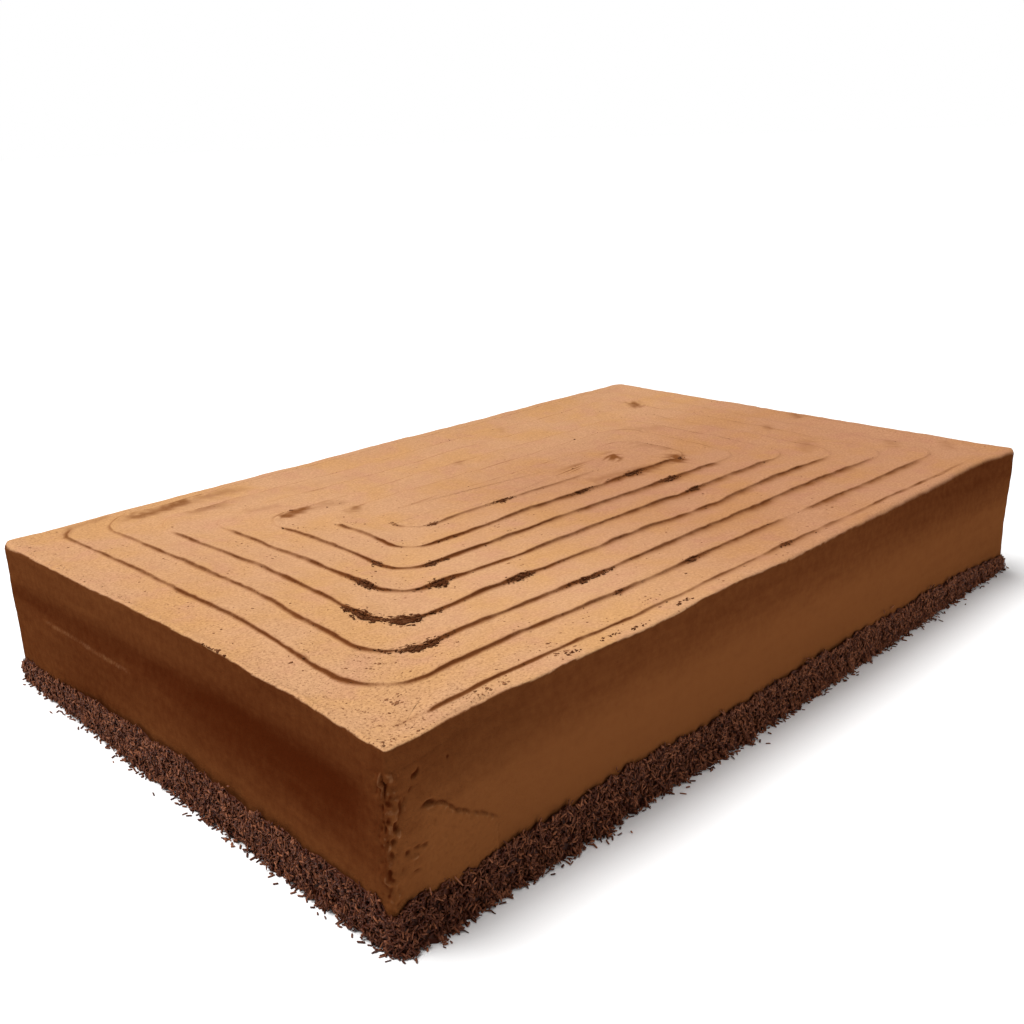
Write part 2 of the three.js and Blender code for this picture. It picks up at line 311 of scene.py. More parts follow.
def riser_height():
    """The riser's height along the path: its full rise times the fades and a slow unevenness."""
    right_end = LONG + SHORT + 2 * BEND
    left_start = right_end + LONG
    fade = smooth(INDEX, 0, 9) * (1 - smooth(INDEX, LAST - LONG / 2, LAST)) * (1 - 0.3 * inmost)
    first = np.maximum(1 - smooth(INDEX, LONG, right_end), smooth(INDEX, left_start, left_start + BEND))
    faint = 1 - 0.5 * window(INDEX, 0.52 * LONG, 0.6 * LONG, LONG, LONG + 2 * BEND)
    faint = faint - 0.32 * window(INDEX, 0.05 * LONG, 0.12 * LONG, 0.5 * LONG, 0.58 * LONG)
    faint = faint - 0.4 * window(INDEX - COLUMNS, 0.38 * LONG, 0.5 * LONG, 0.8 * LONG, LONG)
    bend = np.minimum(np.abs(INDEX % COLUMNS - (COLUMNS - BEND / 2)), INDEX % COLUMNS + BEND / 2)
    faint = faint * (1 - 0.45 * bell(bend, 0.5 * BEND) * (INDEX > BEND))
    uneven = 1.0 + 0.13 * waves(path_3d, 60, 11) + 0.11 * waves(path_3d, 17, 12)
    uneven = np.clip(uneven + 0.2 * tear, 0.4, 1.4)
    uneven = uneven * (1 - 0.15 * turned_away(INDEX)) * (1 - 0.5 * faded_bend(INDEX))
    return RISE * fade * first * faint * uneven


inmost = smooth(turn_of, TURNS - 0.6, TURNS - 0.05)
wander = 0.6 * waves(path_3d, 110, 21) + 0.1 * waves(path_3d, 30, 22)
lip_path = moved(path, outward, wander * np.minimum(room_out, room_in))
rise = riser_height()
ragged = 0.16 * waves(path_3d, 6, 23) + tear * 0.3 * waves(path_3d, 5, 24)
slant = np.maximum(1.1 + 0.2 * waves(path_3d, 24, 25) + 0.3 * tear, 0.6) * room_out
foot_path = moved(lip_path, outward, slant)
print("riser height from", rise.min().round(2), "to", rise.max().round(2))

# %% [markdown]
# Everything on top lies on one bed, a height for each place in plan: nearly flat, a little higher along the
# edges and the near corner, and rounded off along a part of the near edge. With one formula for the bed,
# bands, margin and crumbs always meet.

# %% The bed of the top
EDGE_LIFT, EDGE_DIP = 1.6, 2.0
TIP_LIFT, TIP_REACH = 0.8, 13


def spread(points):
    """The slow unevenness of the spread top, in millimetres."""
    return 0.22 * waves(points, 110, 31) + 0.08 * waves(points, 30, 32) + 0.03 * waves(points, 9, 33)


def soft_edge(plan):
    """How round the near edge is: a soft step towards the edge times a window along it."""
    near_side = smooth(-plan[:, 1], HALF_WIDTH - 30, HALF_WIDTH - 10)
    return near_side * window(from_left(plan), *SOFT_EDGE)


def bed(plan):
    """The height of the top with no bands on it: the floor and its unevenness, a bell curve round the near
    corner, and soft steps of the distance from the nearest edge."""
    inset = np.minimum(HALF_LENGTH - np.abs(plan[:, 0]), HALF_WIDTH - np.abs(plan[:, 1]))
    lift = EDGE_LIFT * (1 - smooth(inset, 0, 16)) - EDGE_DIP * soft_edge(plan) * (1 - smooth(inset, 0, 12))
    tip = TIP_LIFT * bell(apart(plan, NEAR_CORNER), TIP_REACH)
    return FLOOR + spread(plan) + tip + lift


print("bed along the path from", bed(path).min().round(2), "to", bed(path).max().round(2))

# %% [markdown]
# The icing is one closed skin. Each column of the spiral carries the same profile across its band, and the
# last point of the profile is shared with the foot of the next turn's riser, so the bands join with no gap.

# %% The icing's bands
RISER = ((0.45, 0.52), (0.08, 0.74))
CREST = ((-0.12, 0.90), (-0.8, 0.99), (-1.8, 1.0), (-3.4, 0.95))
BAND = (0.16, 0.36, 0.58, 0.78, 0.91)
LAST_CREST = len(RISER) + len(CREST) - 1
FOOT_SHARE, FOOT_REACH = 0.38, 2.2


def foot_sweep(plan, column):
    """How much the icing sweeps up towards a riser's foot: e to the less distance from it in reaches."""
    return np.exp(-apart(plan, foot_path[column]) / FOOT_REACH)


def band_profile():
    """Points across every band: up the riser, over a lip that hangs out a little and down to the next foot.
    The height falls from the crest with the share of the way to that foot, faster at the start."""
    rows = []
    for share_out, share in RISER:
        at = moved(lip_path, outward, share_out * slant + 0.5 * ragged)
        rows.append(np.column_stack([at, bed(at) + share * rise]))
    for inset, share in CREST:
        near_lip = ragged * max(0.0, 1 + inset / 2.0)
        at = moved(lip_path, outward, inset * room_in + near_lip)
        rows.append(np.column_stack([at, bed(at) + share * rise]))
    start, stop = rows[-1][:WHOLE, :2], foot_path[COLUMNS:]
    for share in BAND + (1.0,):
        at = mix(start, stop, share)
        fall = CREST[-1][1] * rise[:WHOLE] * (1 - share) ** 1.15
        sweep = FOOT_SHARE * rise[COLUMNS:] * foot_sweep(at, INDEX[COLUMNS:])
        rows.append(np.column_stack([at, bed(at) + fall + sweep]))
    return rows


band_rows = band_profile()
print("rows across a band", len(band_rows))

# %% [markdown]
# The sides were smoothed with a long knife. On the left side its sweep left a shallow hollow below a proud
# strip, and a small ledge where one sweep ended. These could be sculpted, but sums of soft steps and bell
# curves of the height are easy to move until they lie as on the real cake.

# %% How the sides stand
NEAR_BOW = 5.4
RIGHT_LEAN, RIGHT_SPAN = 3.5, (295.0, 415.0, 428.0, 468.0)
LEFT_LEAN, LEFT_SPAN = 4.8, (45.0, 170.0, 235.0, 350.0)
HOLLOW_HEIGHT, HOLLOW_DEPTH, HOLLOW_SPAN = 51.0, 0.9, (2, 25, 272, 300)
LEDGE_HEIGHT, LEDGE_FALL, LEDGE_DEPTH, LEDGE_SPAN = 44.7, 0.019, 0.6, (30, 48, 112, 134)
SUNK_DEPTH, SUNK_SPAN, SUNK_HEIGHTS = 5.0, (-10, -6, 44, 49), (16, 23, 59, 64)


def on_left(plan):
    """1 on the left side and 0 on the others, turning over on the corners."""
    return smooth(-plan[:, 0], HALF_LENGTH - 2.4, HALF_LENGTH)


def on_near(plan):
    """1 on the near side and 0 on the others, turning over on the corners."""
    return smooth(-plan[:, 1], HALF_WIDTH - 2.4, HALF_WIDTH)


def lean(plan, height):
    """How far the upper part of a side leans in: windows along the sides times a soft step up."""
    left = LEFT_LEAN * window(from_far(plan), *LEFT_SPAN) * on_left(plan)
    along = from_left(plan)
    near = NEAR_BOW * window(along, *SOFT_EDGE) + RIGHT_LEAN * window(along, *RIGHT_SPAN)
    return left * smooth(height, 8, HEIGHT) + near * on_near(plan) * smooth(height, 44, HEIGHT)


def roundness(plan):
    """How many times rounder than usual the top edge is: more along the right part of the near side and by
    the left corner."""
    right_part = on_near(plan) * smooth(plan[:, 0], -60, 140)
    left_end = on_left(plan) * bell(from_far(plan), 24)
    return 1 + 1.3 * np.maximum(right_part, left_end)


def hollow(plan, height):
    """The left side's hollow: a bell curve of the height that reaches further down by the near corner."""
    along = from_far(plan)
    below = mix(6.0, 14.5, smooth(along, 90, 230))
    reach = np.where(height > HOLLOW_HEIGHT, 6.5, below)
    return bell(height - HOLLOW_HEIGHT, reach) * window(along, *HOLLOW_SPAN) * on_left(plan)


def ledge_line(plan):
    """The height of the ledge's edge on the left side, and how clearly it shows along the side."""
    along = from_far(plan)
    return LEDGE_HEIGHT - LEDGE_FALL * along, window(along, *LEDGE_SPAN) * on_left(plan)


def ledge(plan, height):
    """The ledge of the left side: proud below a line that falls slowly, and fading downwards."""
    line, shown = ledge_line(plan)
    return window(height, 24, 38, line - 0.5, line + 0.7) * shown


def side_push(plan, height):
    """How far the side stands out from the outline: slow waves that die away at the foot, the knife's hollow
    and ledge, and a finer unevenness along the top edge and the corners."""
    here = np.column_stack([plan, height])
    ends = smooth(np.abs(plan[:, 0]), HALF_LENGTH - 8, HALF_LENGTH - 1)
    corner = ends * smooth(np.abs(plan[:, 1]), HALF_WIDTH - 8, HALF_WIDTH - 1)
    push = 0.35 * waves(here, 80, 41) + 0.1 * waves(here, 25, 42) + 0.12 * corner * waves(here, 7, 44)
    push = push + smooth(height, 64, HEIGHT) * (0.08 * waves(here, 14, 43) + 0.03 * waves(here, 6, 47))
    push = push - HOLLOW_DEPTH * hollow(plan, height) + LEDGE_DEPTH * ledge(plan, height)
    return smooth(height, 0, 20) * push - lean(plan, height)


def behind_corner(plan, height):
    """How far the skin is sunk behind the patch that crumbles the near corner: windows round the corner and
    up the side."""
    along = plan[:, 0] + HALF_LENGTH - plan[:, 1] - HALF_WIDTH
    sides = np.minimum(on_near(plan) + on_left(plan), 1)
    return SUNK_DEPTH * window(along, *SUNK_SPAN) * window(height, *SUNK_HEIGHTS) * sides


edge, edge_out = outline(0.0)
print("the top edge leans in by up to", lean(edge, np.full(COLUMNS, HEIGHT)).max().round(1))

# %% [markdown]
# The side is a stack of rings. The first ones roll over the top edge, each an offset and a drop from it, and
# the rest follow the side down to the foot, close together where the ledge needs them. A margin of rows
# joins the edge to the foot of the spiral's first turn.

# %% The icing's edge and sides
EDGE_RINGS = ((-2.0, 0.0), (-1.1, 0.05), (-0.5, 0.25), (-0.15, 0.65), (0.0, 1.3), (0.0, 2.6))
DEEPEST_DROP = 4.6
SIDE_HEIGHTS = (
    68.6, 66.6, 64.0, 61.0, 58.0, 55.0, 52.0, 49.0, 46.6, 45.2, 44.4, 43.8, 43.2, 42.6, 42.0, 41.4, 40.4,
    38.0, 34.0, 29.0, 23.0, 15.0, 0.0)
MARGIN = (0.1, 0.22, 0.38, 0.58, 0.76, 0.88, 0.95)

side_rows = []
rounder = roundness(edge)
for offset, drop in EDGE_RINGS:
    plan, out = outline(offset * rounder)
    worn = 0.05 * waves(plan, 9, 46) * (offset > EDGE_RINGS[0][0])
    height = bed(plan) - np.minimum(drop * rounder, DEEPEST_DROP) + worn
    side_rows.append(np.column_stack([moved(plan, out, side_push(edge, height)), height]))
for level in SIDE_HEIGHTS:
    height = np.full(COLUMNS, level)
    push = side_push(edge, height) - behind_corner(edge, height)
    side_rows.append(np.column_stack([moved(edge, edge_out, push), height]))

first_rise = FOOT_SHARE * rise[:COLUMNS]
first_foot = np.column_stack([foot_path[:COLUMNS], bed(foot_path[:COLUMNS]) + first_rise])
margin_rows = []
for share in MARGIN:
    at = mix(side_rows[0][:, :2], first_foot[:, :2], share)
    sweep = first_rise * foot_sweep(at, np.arange(COLUMNS))
    margin_rows.append(np.column_stack([at, bed(at) + sweep]))
print("rings down the side", len(side_rows), "and across the margin", len(margin_rows))


# %% [markdown]
# All rows get point numbers, and quads join neighbouring rows. Three places need care: the margin closes on
# itself where the spiral starts, the bands share their feet, and rings shrink to one point in the centre.

# %% Joining the icing
def zipped(first, second, first_at, second_at):
    """Triangles between two rows of point numbers of different lengths. The points of both rows are taken in
    the order of their distances, and each one closes a triangle with the last point taken from each row."""
    taken = np.argsort(np.concatenate([first_at[1:], second_at[1:]]), kind="stable")
    from_first = taken < len(first) - 1
    i, j = np.cumsum(from_first) - from_first, np.cumsum(~from_first) - ~from_first
    next_first = first[np.minimum(i + 1, len(first) - 1)]
    next_second = second[np.minimum(j + 1, len(second) - 1)]
    return np.stack([first[i], second[j], np.where(from_first, next_first, next_second)], axis=1)


rows = side_rows + margin_rows + [first_foot] + band_rows
numbers = number_rows(rows)
side_ids = numbers[:len(side_rows)]
margin_ids = numbers[len(side_rows):len(side_rows) + len(margin_rows)]
foot_ids = numbers[len(side_rows) + len(margin_rows)]
band_ids = numbers[-len(band_rows):]
points = np.concatenate(rows)

feet = np.concatenate([foot_ids, band_ids[-1]])
faces = [
    grid_faces([closed(row) for row in side_ids[::-1]]),
    grid_faces([side_ids[0], *margin_ids, foot_ids]),
    grid_faces([feet, *band_ids[:LAST_CREST + 1]]),
    grid_faces([band_ids[LAST_CREST][:WHOLE], *band_ids[LAST_CREST + 1:]])]
before = np.array([row[-1] for row in (side_ids[0], *margin_ids, foot_ids)])
after = np.array([row[0] for row in (side_ids[0], *margin_ids, foot_ids, *band_ids)])
from_near = (points[:, :2] - NEAR_CORNER).sum(axis=1)
faces.append(zipped(before, after, from_near[before], from_near[after]))
print("faces before the centre is closed", sum(map(len, faces)))

# %% [markdown]
# The centre of the spiral is a small smooth panel. Its rim is the last turn, and rings of points shrink from
# the rim to a hub, lower in the middle. The flat base closes in the same way, by one fan.

# %% The panel in the centre and the base
HUB_SHARES = (0.8, 0.6, 0.4, 0.2)
HUB_SHIFT, HUB_LIFT = 3.0, 0.45

rim = np.concatenate([
    band_ids[LAST_CREST][LAST - COLUMNS:], [row[LAST] for row in band_ids[LAST_CREST - 1::-1]],
    [row[WHOLE - 1] for row in band_ids[:LAST_CREST:-1]]])
hub_y = (path[LAST, 1] + path[LAST - COLUMNS // 2, 1]) / 2
panel_hub = np.array([path[LAST, 0] + HUB_SHIFT, hub_y, FLOOR + HUB_LIFT * RISE])
rings = [mix(panel_hub, points[rim], share) for share in HUB_SHARES]
for ring, share in zip(rings, HUB_SHARES):
    ring[:, 2] = mix(panel_hub[2], points[rim][:, 2], share ** 2) + spread(ring[:, :2]) * (1 - share)
ring_ids = number_rows(rings, len(points))
hub_id = len(points) + len(rings) * len(rim)
base_id = hub_id + 1
points = np.concatenate([points, *rings, panel_hub[None], [[0.0, 0.0, 0.0]]])
faces.append(grid_faces([closed(row) for row in [rim, *ring_ids]]))
faces.append(fan(hub_id, closed(ring_ids[-1])))
faces.append(fan(base_id, closed(side_ids[-1])[::-1]))
print("points of the icing", len(points))


# %% [markdown]
# The sides show the deep chocolate, darker than the top in part as painted shade, with more painted shade
# towards the top and on the left side, most of all in its hollow, and painted light at the ledge and the
# foot.
# Painting a texture by hand could give that, but a value on each point follows the shape by itself and needs
# no image.

# %% Painted shade on the sides
def dusky(plan, height):
    """How much painted shade the side gets. Most sides darken by a soft step towards the top, by the near
    corner and to the right end. The left side gets more, most of all in the hollow, and painted light at the
    ledge, the foot, the proud strip and the far end."""
    by_corner = bell(apart(plan, NEAR_CORNER), 28)
    plain = 0.52 * smooth(height, 34, 66) + by_corner * (0.3 - 0.24 * smooth(height, 42, 54))
    plain = plain + 0.15 * smooth(plan[:, 0], 0, 225)
    along = from_far(plan)
    far_part = 1 - smooth(along, 100, 230)
    foot = smooth(along, 80, 140) * (1 - smooth(height, 15, 36))
    left = 0.69 - smooth(height, 50, 60) * (0.02 + 0.16 * far_part) - 0.26 * foot
    left = left + (0.36 - 0.25 * far_part) * hollow(plan, height) * (1 - ledge(plan, height))
    left = left - 0.1 * (1 - smooth(along, 45, 80)) * (1 - smooth(height, 44, 50))
    return mix(plain, left, on_left(plan))


dusk = np.zeros(len(points))
for ids in side_ids:
    dusk[ids] = dusky(edge, points[ids, 2])
print("dusk of the sides from", dusk.min().round(2), "to", dusk.max().round(2))

# %% [markdown]
# The top has dried pale, with loose brown strokes and spots where the comb and the knife smeared it. Each
# stroke is listed by its two ends from the near left corner, its reach and its darkness. On the far sides,
# where risers face away, painted shade runs along the lips, and the first strokes add more of it there.

# %% Strokes and painted shade on the far lips
# The first seven strokes lie along the far lips by the left end and are painted shade; the rest are smears.
STROKES = (
    (58, 289, 128, 288, 6.0, 0.36), (64, 289, 94, 291, 5.0, 0.66), (103, 292, 122, 289, 5.0, 0.45),
    (88, 272, 105, 270, 5.0, 0.42), (105, 270, 190, 264, 8.0, 0.22), (26, 288, 32, 298, 3.5, 0.45),
    (32, 298, 52, 300, 3.5, 0.4), (110, 250, 123, 247, 4.5, 0.34), (117, 229, 130, 232, 4.4, 0.85),
    (124, 231, 152, 226, 4.4, 0.36), (146, 208, 152, 214, 4.0, 0.5), (276, 173, 280, 177, 5.0, 0.85),
    (309, 170, 314, 176, 5.5, 0.9), (330, 138, 336, 145, 5.5, 0.85), (420, 245, 428, 254, 6.0, 0.66),
    (461, 140, 467, 146, 5.5, 0.5), (423, 137, 430, 144, 5.0, 0.45), (268, 147, 305, 140, 7.5, 0.42),
    (367, 210, 380, 195, 7.0, 0.34), (341, 183, 345, 159, 6.0, 0.36), (394, 92, 414, 104, 7.5, 0.36),
    (436, 58, 443, 65, 6.0, 0.4), (452, 30, 459, 37, 5.5, 0.4), (241, 232, 246, 237, 4.5, 0.34),
    (311, 268, 316, 273, 4.5, 0.3), (219, 177, 224, 181, 4.0, 0.3), (14, 13, 26, 14, 2.2, 0.4))
FAR_SHADE_SPAN, FAR_SHADE_STEP = (40, 60, 95, 130), 20


def stroked(plan):
    """How brown the loose strokes and spots on the top are: for each one, a bell curve of the distance from
    the line between its two ends, with a ragged edge."""
    share = np.zeros(len(plan))
    uneven = 1 + 0.25 * waves(plan, 6, 87)
    for x, y, to_x, to_y, reach, dark in STROKES:
        start = NEAR_CORNER + (x, y)
        line = np.array([to_x - x, to_y - y], float)
        along = np.clip((plan - start) @ line / (line @ line), 0, 1)
        away = apart(plan, start + along[:, None] * line)
        share = np.maximum(share, dark * bell(away, reach * uneven))
    return share


def painted_far_shade():
    """How much painted shade the far lips get: a window along the side that moves on with each turn."""
    along = from_left(path) - FAR_SHADE_STEP * (turn_of - 1)
    uneven = np.clip(0.3 + 0.2 * waves(path_3d, 30, 85), 0, 1)
    far_side = window(INDEX % COLUMNS, STARTS[3], STARTS[4], STARTS[5], STARTS[6])
    return far_side * uneven * (0.42 + 0.58 * window(along, *FAR_SHADE_SPAN)) * (turn_of > 1)


def line_strength():
    """How clearly the dark line of a riser shows, partly the deep icing it bares and partly painted shade: it
    follows the riser's height, with an unevenness of its own, more beside the near left bends and in tears,
    less in those bends, the faded ones and the centre."""
    from_bend = (INDEX + COLUMNS / 2 + BEND / 2) % COLUMNS - COLUMNS / 2
    bared_and_shaded = 0.7 + 0.05 * waves(path_3d, 40, 83) + 0.05 * waves(path_3d, 12, 84)
    bared_and_shaded = bared_and_shaded + 0.4 * bell(from_bend, 40) - 0.5 * bell(from_bend, 9) * (turn_of > 0.5)
    bared_and_shaded = np.clip(bared_and_shaded + 0.25 * tear, 0.3, 1)
    share = smooth(rise, 0.2, 0.95) * bared_and_shaded * (1 - 0.5 * faded_bend(INDEX))
    return share * (1 - inmost * mix(0.3, 0.62, smooth(path[:, 0], 20, 80)))


line_share, far_lip_shade = line_strength(), painted_far_shade()
print("line strength up to", line_share.max().round(2), "and streaks up to", far_lip_shade.max().round(2))

# %% [markdown]
# Each point of the skin now gets how pale, how torn and how much painted shade it has, row by row: risers
# painted dark, partly as painted shade, with painted shadow at their feet, edges that turn deep unevenly,
# pale bands, and a painted highlight on the ledge. The finish reads these values.

# %% Painting the icing
RISER_DARK = (1.0, 1.0, 0.9, 0.4, 0.1, 0.0)
FAR_SHADE_ROWS = (0.8, 0.8, 0.8, 0.75, 0.6, 0.35)
TORN_SHARES = (0.7, 0.7, 0.6, 0.3, 0.1)
FOOT_SHADOW, FOOT_SHADOW_REACH, FOOT_FAR_SHADE = (0.7, 0.95), (1.1, 4.2), 0.7
LINE_SHADE = 0.5
LEDGE_HIGHLIGHT, LEDGE_HIGHLIGHT_REACH = 0.23, 1.5

pale = np.ones(len(points))
broken = np.zeros(len(points))
# Risers are painted dark, partly the deep icing they bare and partly painted shade; the far lips get painted
# shade.
for ids, share, far_shade_share in zip(band_ids, RISER_DARK, FAR_SHADE_ROWS):
    seen = 1 - turned_away(INDEX) * (share < 0.5)
    pale[ids] = 1 - np.maximum(share * seen * line_share, far_shade_share * far_lip_shade)
# Painted shadow at the feet of the risers, wider and darker to the right, and painted shade at the feet of
# the far lips.
for rows_of, column in ((band_ids[LAST_CREST + 1:], INDEX[COLUMNS:]),
                        ([*margin_ids, foot_ids], INDEX[:COLUMNS])):
    for ids in rows_of:
        away = smooth(points[ids, 0], -120, 90) * (1 - turned_away(column))
        reach, dark = mix(*FOOT_SHADOW_REACH, away), mix(*FOOT_SHADOW, away)
        near_foot = foot_sweep(points[ids, :2], column) ** (FOOT_REACH / reach)
        pale[ids] = 1 - np.maximum(dark * line_share[column], FOOT_FAR_SHADE * far_lip_shade[column]) * near_foot
# The top edge turns from pale to deep unevenly, further in on the rounded near edge and its right part.
softer = on_near(edge) * smooth(edge[:, 0], 20, 140)
edge_deepening = 0.1 * waves(edge, 20, 81) + 0.06 * (1 - softer) * waves(edge, 5, 82) + 0.5 * soft_edge(edge)
edge_deepening = edge_deepening + 0.3 * on_near(edge) * window(from_left(edge), *RIGHT_SPAN)
for ids, (offset, drop) in zip(side_ids, EDGE_RINGS):
    pale[ids] = 1 - smooth(drop + edge_deepening, 0.25 - 0.2 * softer, 1.0 + 0.8 * softer)
# A painted highlight along the edge of the left side's ledge.
line, shown = ledge_line(edge)
for ids in side_ids[len(EDGE_RINGS):]:
    pale[ids] = LEDGE_HIGHLIGHT * shown * bell(points[ids, 2] - line, LEDGE_HIGHLIGHT_REACH)
# More painted shade on the risers, where their line shows clearly.
for ids in band_ids[:3]:
    dusk[ids] = LINE_SHADE * smooth(line_share, 0.3, 0.8)
for ids, share in zip(band_ids, TORN_SHARES):
    broken[ids] = tear * share
broken[foot_ids] = 0.5 * tear[:COLUMNS]
broken[band_ids[-1]] = 0.5 * tear[COLUMNS:]
broken[band_ids[-2]] = 0.3 * tear[COLUMNS:]
top_ids = np.concatenate([*margin_ids, foot_ids, *band_ids, *ring_ids])
pale[top_ids] = pale[top_ids] * (1 - stroked(points[top_ids, :2]))
icing = make_piece("icing", points, faces, "icing", pale=pale, broken=broken, dusk=dusk)
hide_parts("iced_cake")

# %% [markdown]
# The upright corner nearest the viewer is crumbled: the knife left a flap of icing there, with a crack and
# pits round it. The skin's columns are too coarse for that, so a finer patch lies over the corner. Its relief
# is a sum of bell curves and soft steps of the distance round the corner and the height.

# %% The relief of the crumbled corner
FLAP_LINE = ((4, 50.0), (18, 48.7), (24, 46.5), (30, 40.6), (36, 37.2), (45, 32.0), (49, 29.0))
CRACK_LINE = ((46.0, 4.0), (52.0, 5.8), (58.0, 10.8), (67.0, 16.0))
FLAP_DEPTH, CREASE_DEPTH, CRACK_DEPTH, DENT_DEPTH = 0.7, 0.36, 0.7, 1.15
DENTS = (
    (0.3, 62.0, 1.1, 3.6, -1.3), (6.2, 53.0, 0.8, 2.3, -1.1), (3.3, 47.0, 1.0, 1.8, -1.2),
    (2.4, 41.4, 1.5, 1.0, -0.9), (7.8, 35.0, 1.2, 1.0, -0.9), (17.6, 49.4, 1.9, 0.8, -1.5),
    (28.7, 61.0, 0.5, 0.6, -0.6), (-0.5, 68.0, 2.6, 0.8, -0.9), (12.0, 35.4, 1.8, 0.5, -0.8),
    (15.0, 34.8, 1.4, 0.5, -0.8), (10.3, 32.0, 2.4, 0.9, 0.6), (0.8, 70.0, 1.8, 1.0, 0.9),
    (2.8, 52.5, 1.6, 2.6, 1.0), (-2.4, 63.3, 1.6, 1.8, 0.7), (1.6, 36.0, 1.0, 2.2, -0.45),
    (0.6, 28.0, 1.2, 2.6, -0.4), (5.0, 27.0, 2.2, 1.6, 0.5), (-1.6, 21.0, 1.6, 2.0, -0.4),
    (11.0, 26.5, 1.6, 0.6, -0.5), (4.2, 44.0, 1.4, 1.2, 0.6))


def round_corner(along):
    """Places round the near corner and the directions out of the cake there: an arc, and straight past it."""
    radius = CORNER_RADII["near"]
    angle = np.radians(225 + 45 * np.clip(along / radius, -1, 1))
    out = np.column_stack([np.cos(angle), np.sin(angle)])
    past = np.maximum(np.abs(along) - radius, 0)
    straight = np.where((along > 0)[:, None], [[1.0, 0.0]], [[0.0, 1.0]]) * past[:, None]
    return NEAR_CORNER + radius + out * radius + straight, out


def corner_relief(along, height):
    """The relief of the corner and the share of the flap: the flap is a soft step down from its line, with a
    crease above it, the crack a groove along its own line, the rest bell curves and a fine unevenness."""
    here = np.column_stack([along, height])
    line = np.interp(along, *np.transpose(FLAP_LINE)) + 0.35 * waves(here, 5, 91)
    flap = smooth(line - height, -0.2, 0.6) * window(along, 10, 19, 47.5, 49.5)
    crease = bell(height - line - 0.3, 0.6) * window(along, 16, 19, 47, 49)
    crack_at = np.interp(height, *np.transpose(CRACK_LINE)) + 0.4 * waves(here, 4, 92)
    crack = bell(along - crack_at, 0.9) * window(height, 44, 49, 62, 69)
    rough = bell(along, 5) * mix(0.6, 1.0, smooth(height, 34, 50))
    fine = rough * (0.42 * waves(here, 7, 93) + 0.26 * waves(here, 3, 94))
    fine = fine + (0.04 + 0.05 * flap) * waves(here, 3, 95)
    dents = sum(depth * bell(along - at, wide) * bell(height - level, tall)
                for at, level, wide, tall, depth in DENTS)
    cuts = CREASE_DEPTH * crease * (0.8 + 0.4 * waves(here, 5, 97))
    cuts = cuts + CRACK_DEPTH * crack * (0.7 + 0.4 * waves(here, 6, 96))
    return FLAP_DEPTH * flap - cuts + fine + DENT_DEPTH * dents, flap


print("dents of the corner", len(DENTS))

# %% [markdown]
# The patch is a thin closed shell. Its rim dips under the skin, and behind it the skin is sunk, so that pits
# are true pits. Comparing the relief with its own mean round each point tells crevices from ridges: crevices
# get painted shade and ridges a painted highlight.

# %% The crumbled corner
CORNER_SPAN, CORNER_HEIGHTS = (-26.0, -10.0, 50.0, 58.0), (9.0, 14.0, 65.0, 70.6)
CORNER_STEP, CORNER_ROWS = 0.5, 110
PATCH_LIFT, RIM_DIP, PATCH_BACK = 0.25, -1.2, 4.6
MEAN_REACH = 3


def blurred(grid, reach):
    """The mean of a grid over a square window, from running sums along each axis."""
    size = 2 * reach + 1
    for axis in (0, 1):
        edges = [(reach + 1, reach) if side == axis else (0, 0) for side in (0, 1)]
        total = np.cumsum(np.pad(grid, edges, mode="edge"), axis=axis)
        upper, lower = np.split(total, [size], axis)[1], np.split(total, [-size], axis)[0]
        grid = (upper - lower) / size
    return grid


def rim_loop(ids):
    """The point numbers round the rim of a grid, back to the first."""
    return np.concatenate([ids[0], ids[1:, -1], ids[-1, -2::-1], ids[-2::-1, 0]])


def front_only(values):
    """Values for the points of the patch's front, with noughts for its back."""
    return np.concatenate([values, np.zeros(len(values))])


across = np.arange(CORNER_SPAN[0], CORNER_SPAN[-1], CORNER_STEP)
levels = np.linspace(CORNER_HEIGHTS[0], CORNER_HEIGHTS[-1], CORNER_ROWS)
along, height = [grid.ravel() for grid in np.meshgrid(across, levels)]
plan, out = round_corner(along)
relief, flap = corner_relief(along, height)
front_ids = np.arange(along.size).reshape(len(levels), len(across))
back_ids = front_ids + along.size
cavity = relief - blurred(relief[front_ids], MEAN_REACH).ravel()
shown = window(along, *CORNER_SPAN) * window(height, *CORNER_HEIGHTS)
push = side_push(plan, height)
front = np.column_stack([moved(plan, out, push + mix(RIM_DIP, relief + PATCH_LIFT, shown)), height])
back = np.column_stack([moved(plan, out, push - PATCH_BACK), height])
corner_faces = [
    grid_faces(list(front_ids)), grid_faces(list(back_ids))[:, ::-1],
    strip(rim_loop(back_ids), rim_loop(front_ids))]
# Painted shade in the crevices and a painted highlight on the ridges, added to the side's painted shade.
crevice_shade = np.clip(-1.4 * cavity * shown - 0.12, 0, 0.5)
ridge_highlight = np.clip(0.9 * cavity * shown - 0.08, 0, 0.23)
corner_dusk = np.clip(dusky(plan, height) - 0.14 * flap + crevice_shade, -0.1, 1.3)
corner = make_piece(
    "corner_crumble", np.concatenate([front, back]), corner_faces, "icing",
    pale=front_only(ridge_highlight), broken=front_only(0 * ridge_highlight), dusk=front_only(corner_dusk))


# %% [markdown]
# Crumbs of icing lie in the tears and along the risers. A particle system could scatter them, but then they
# would not be mesh of their own. Each is a lump with twenty faces, so a few thousand of them stay light, and
# all of them are one mesh made from arrays.

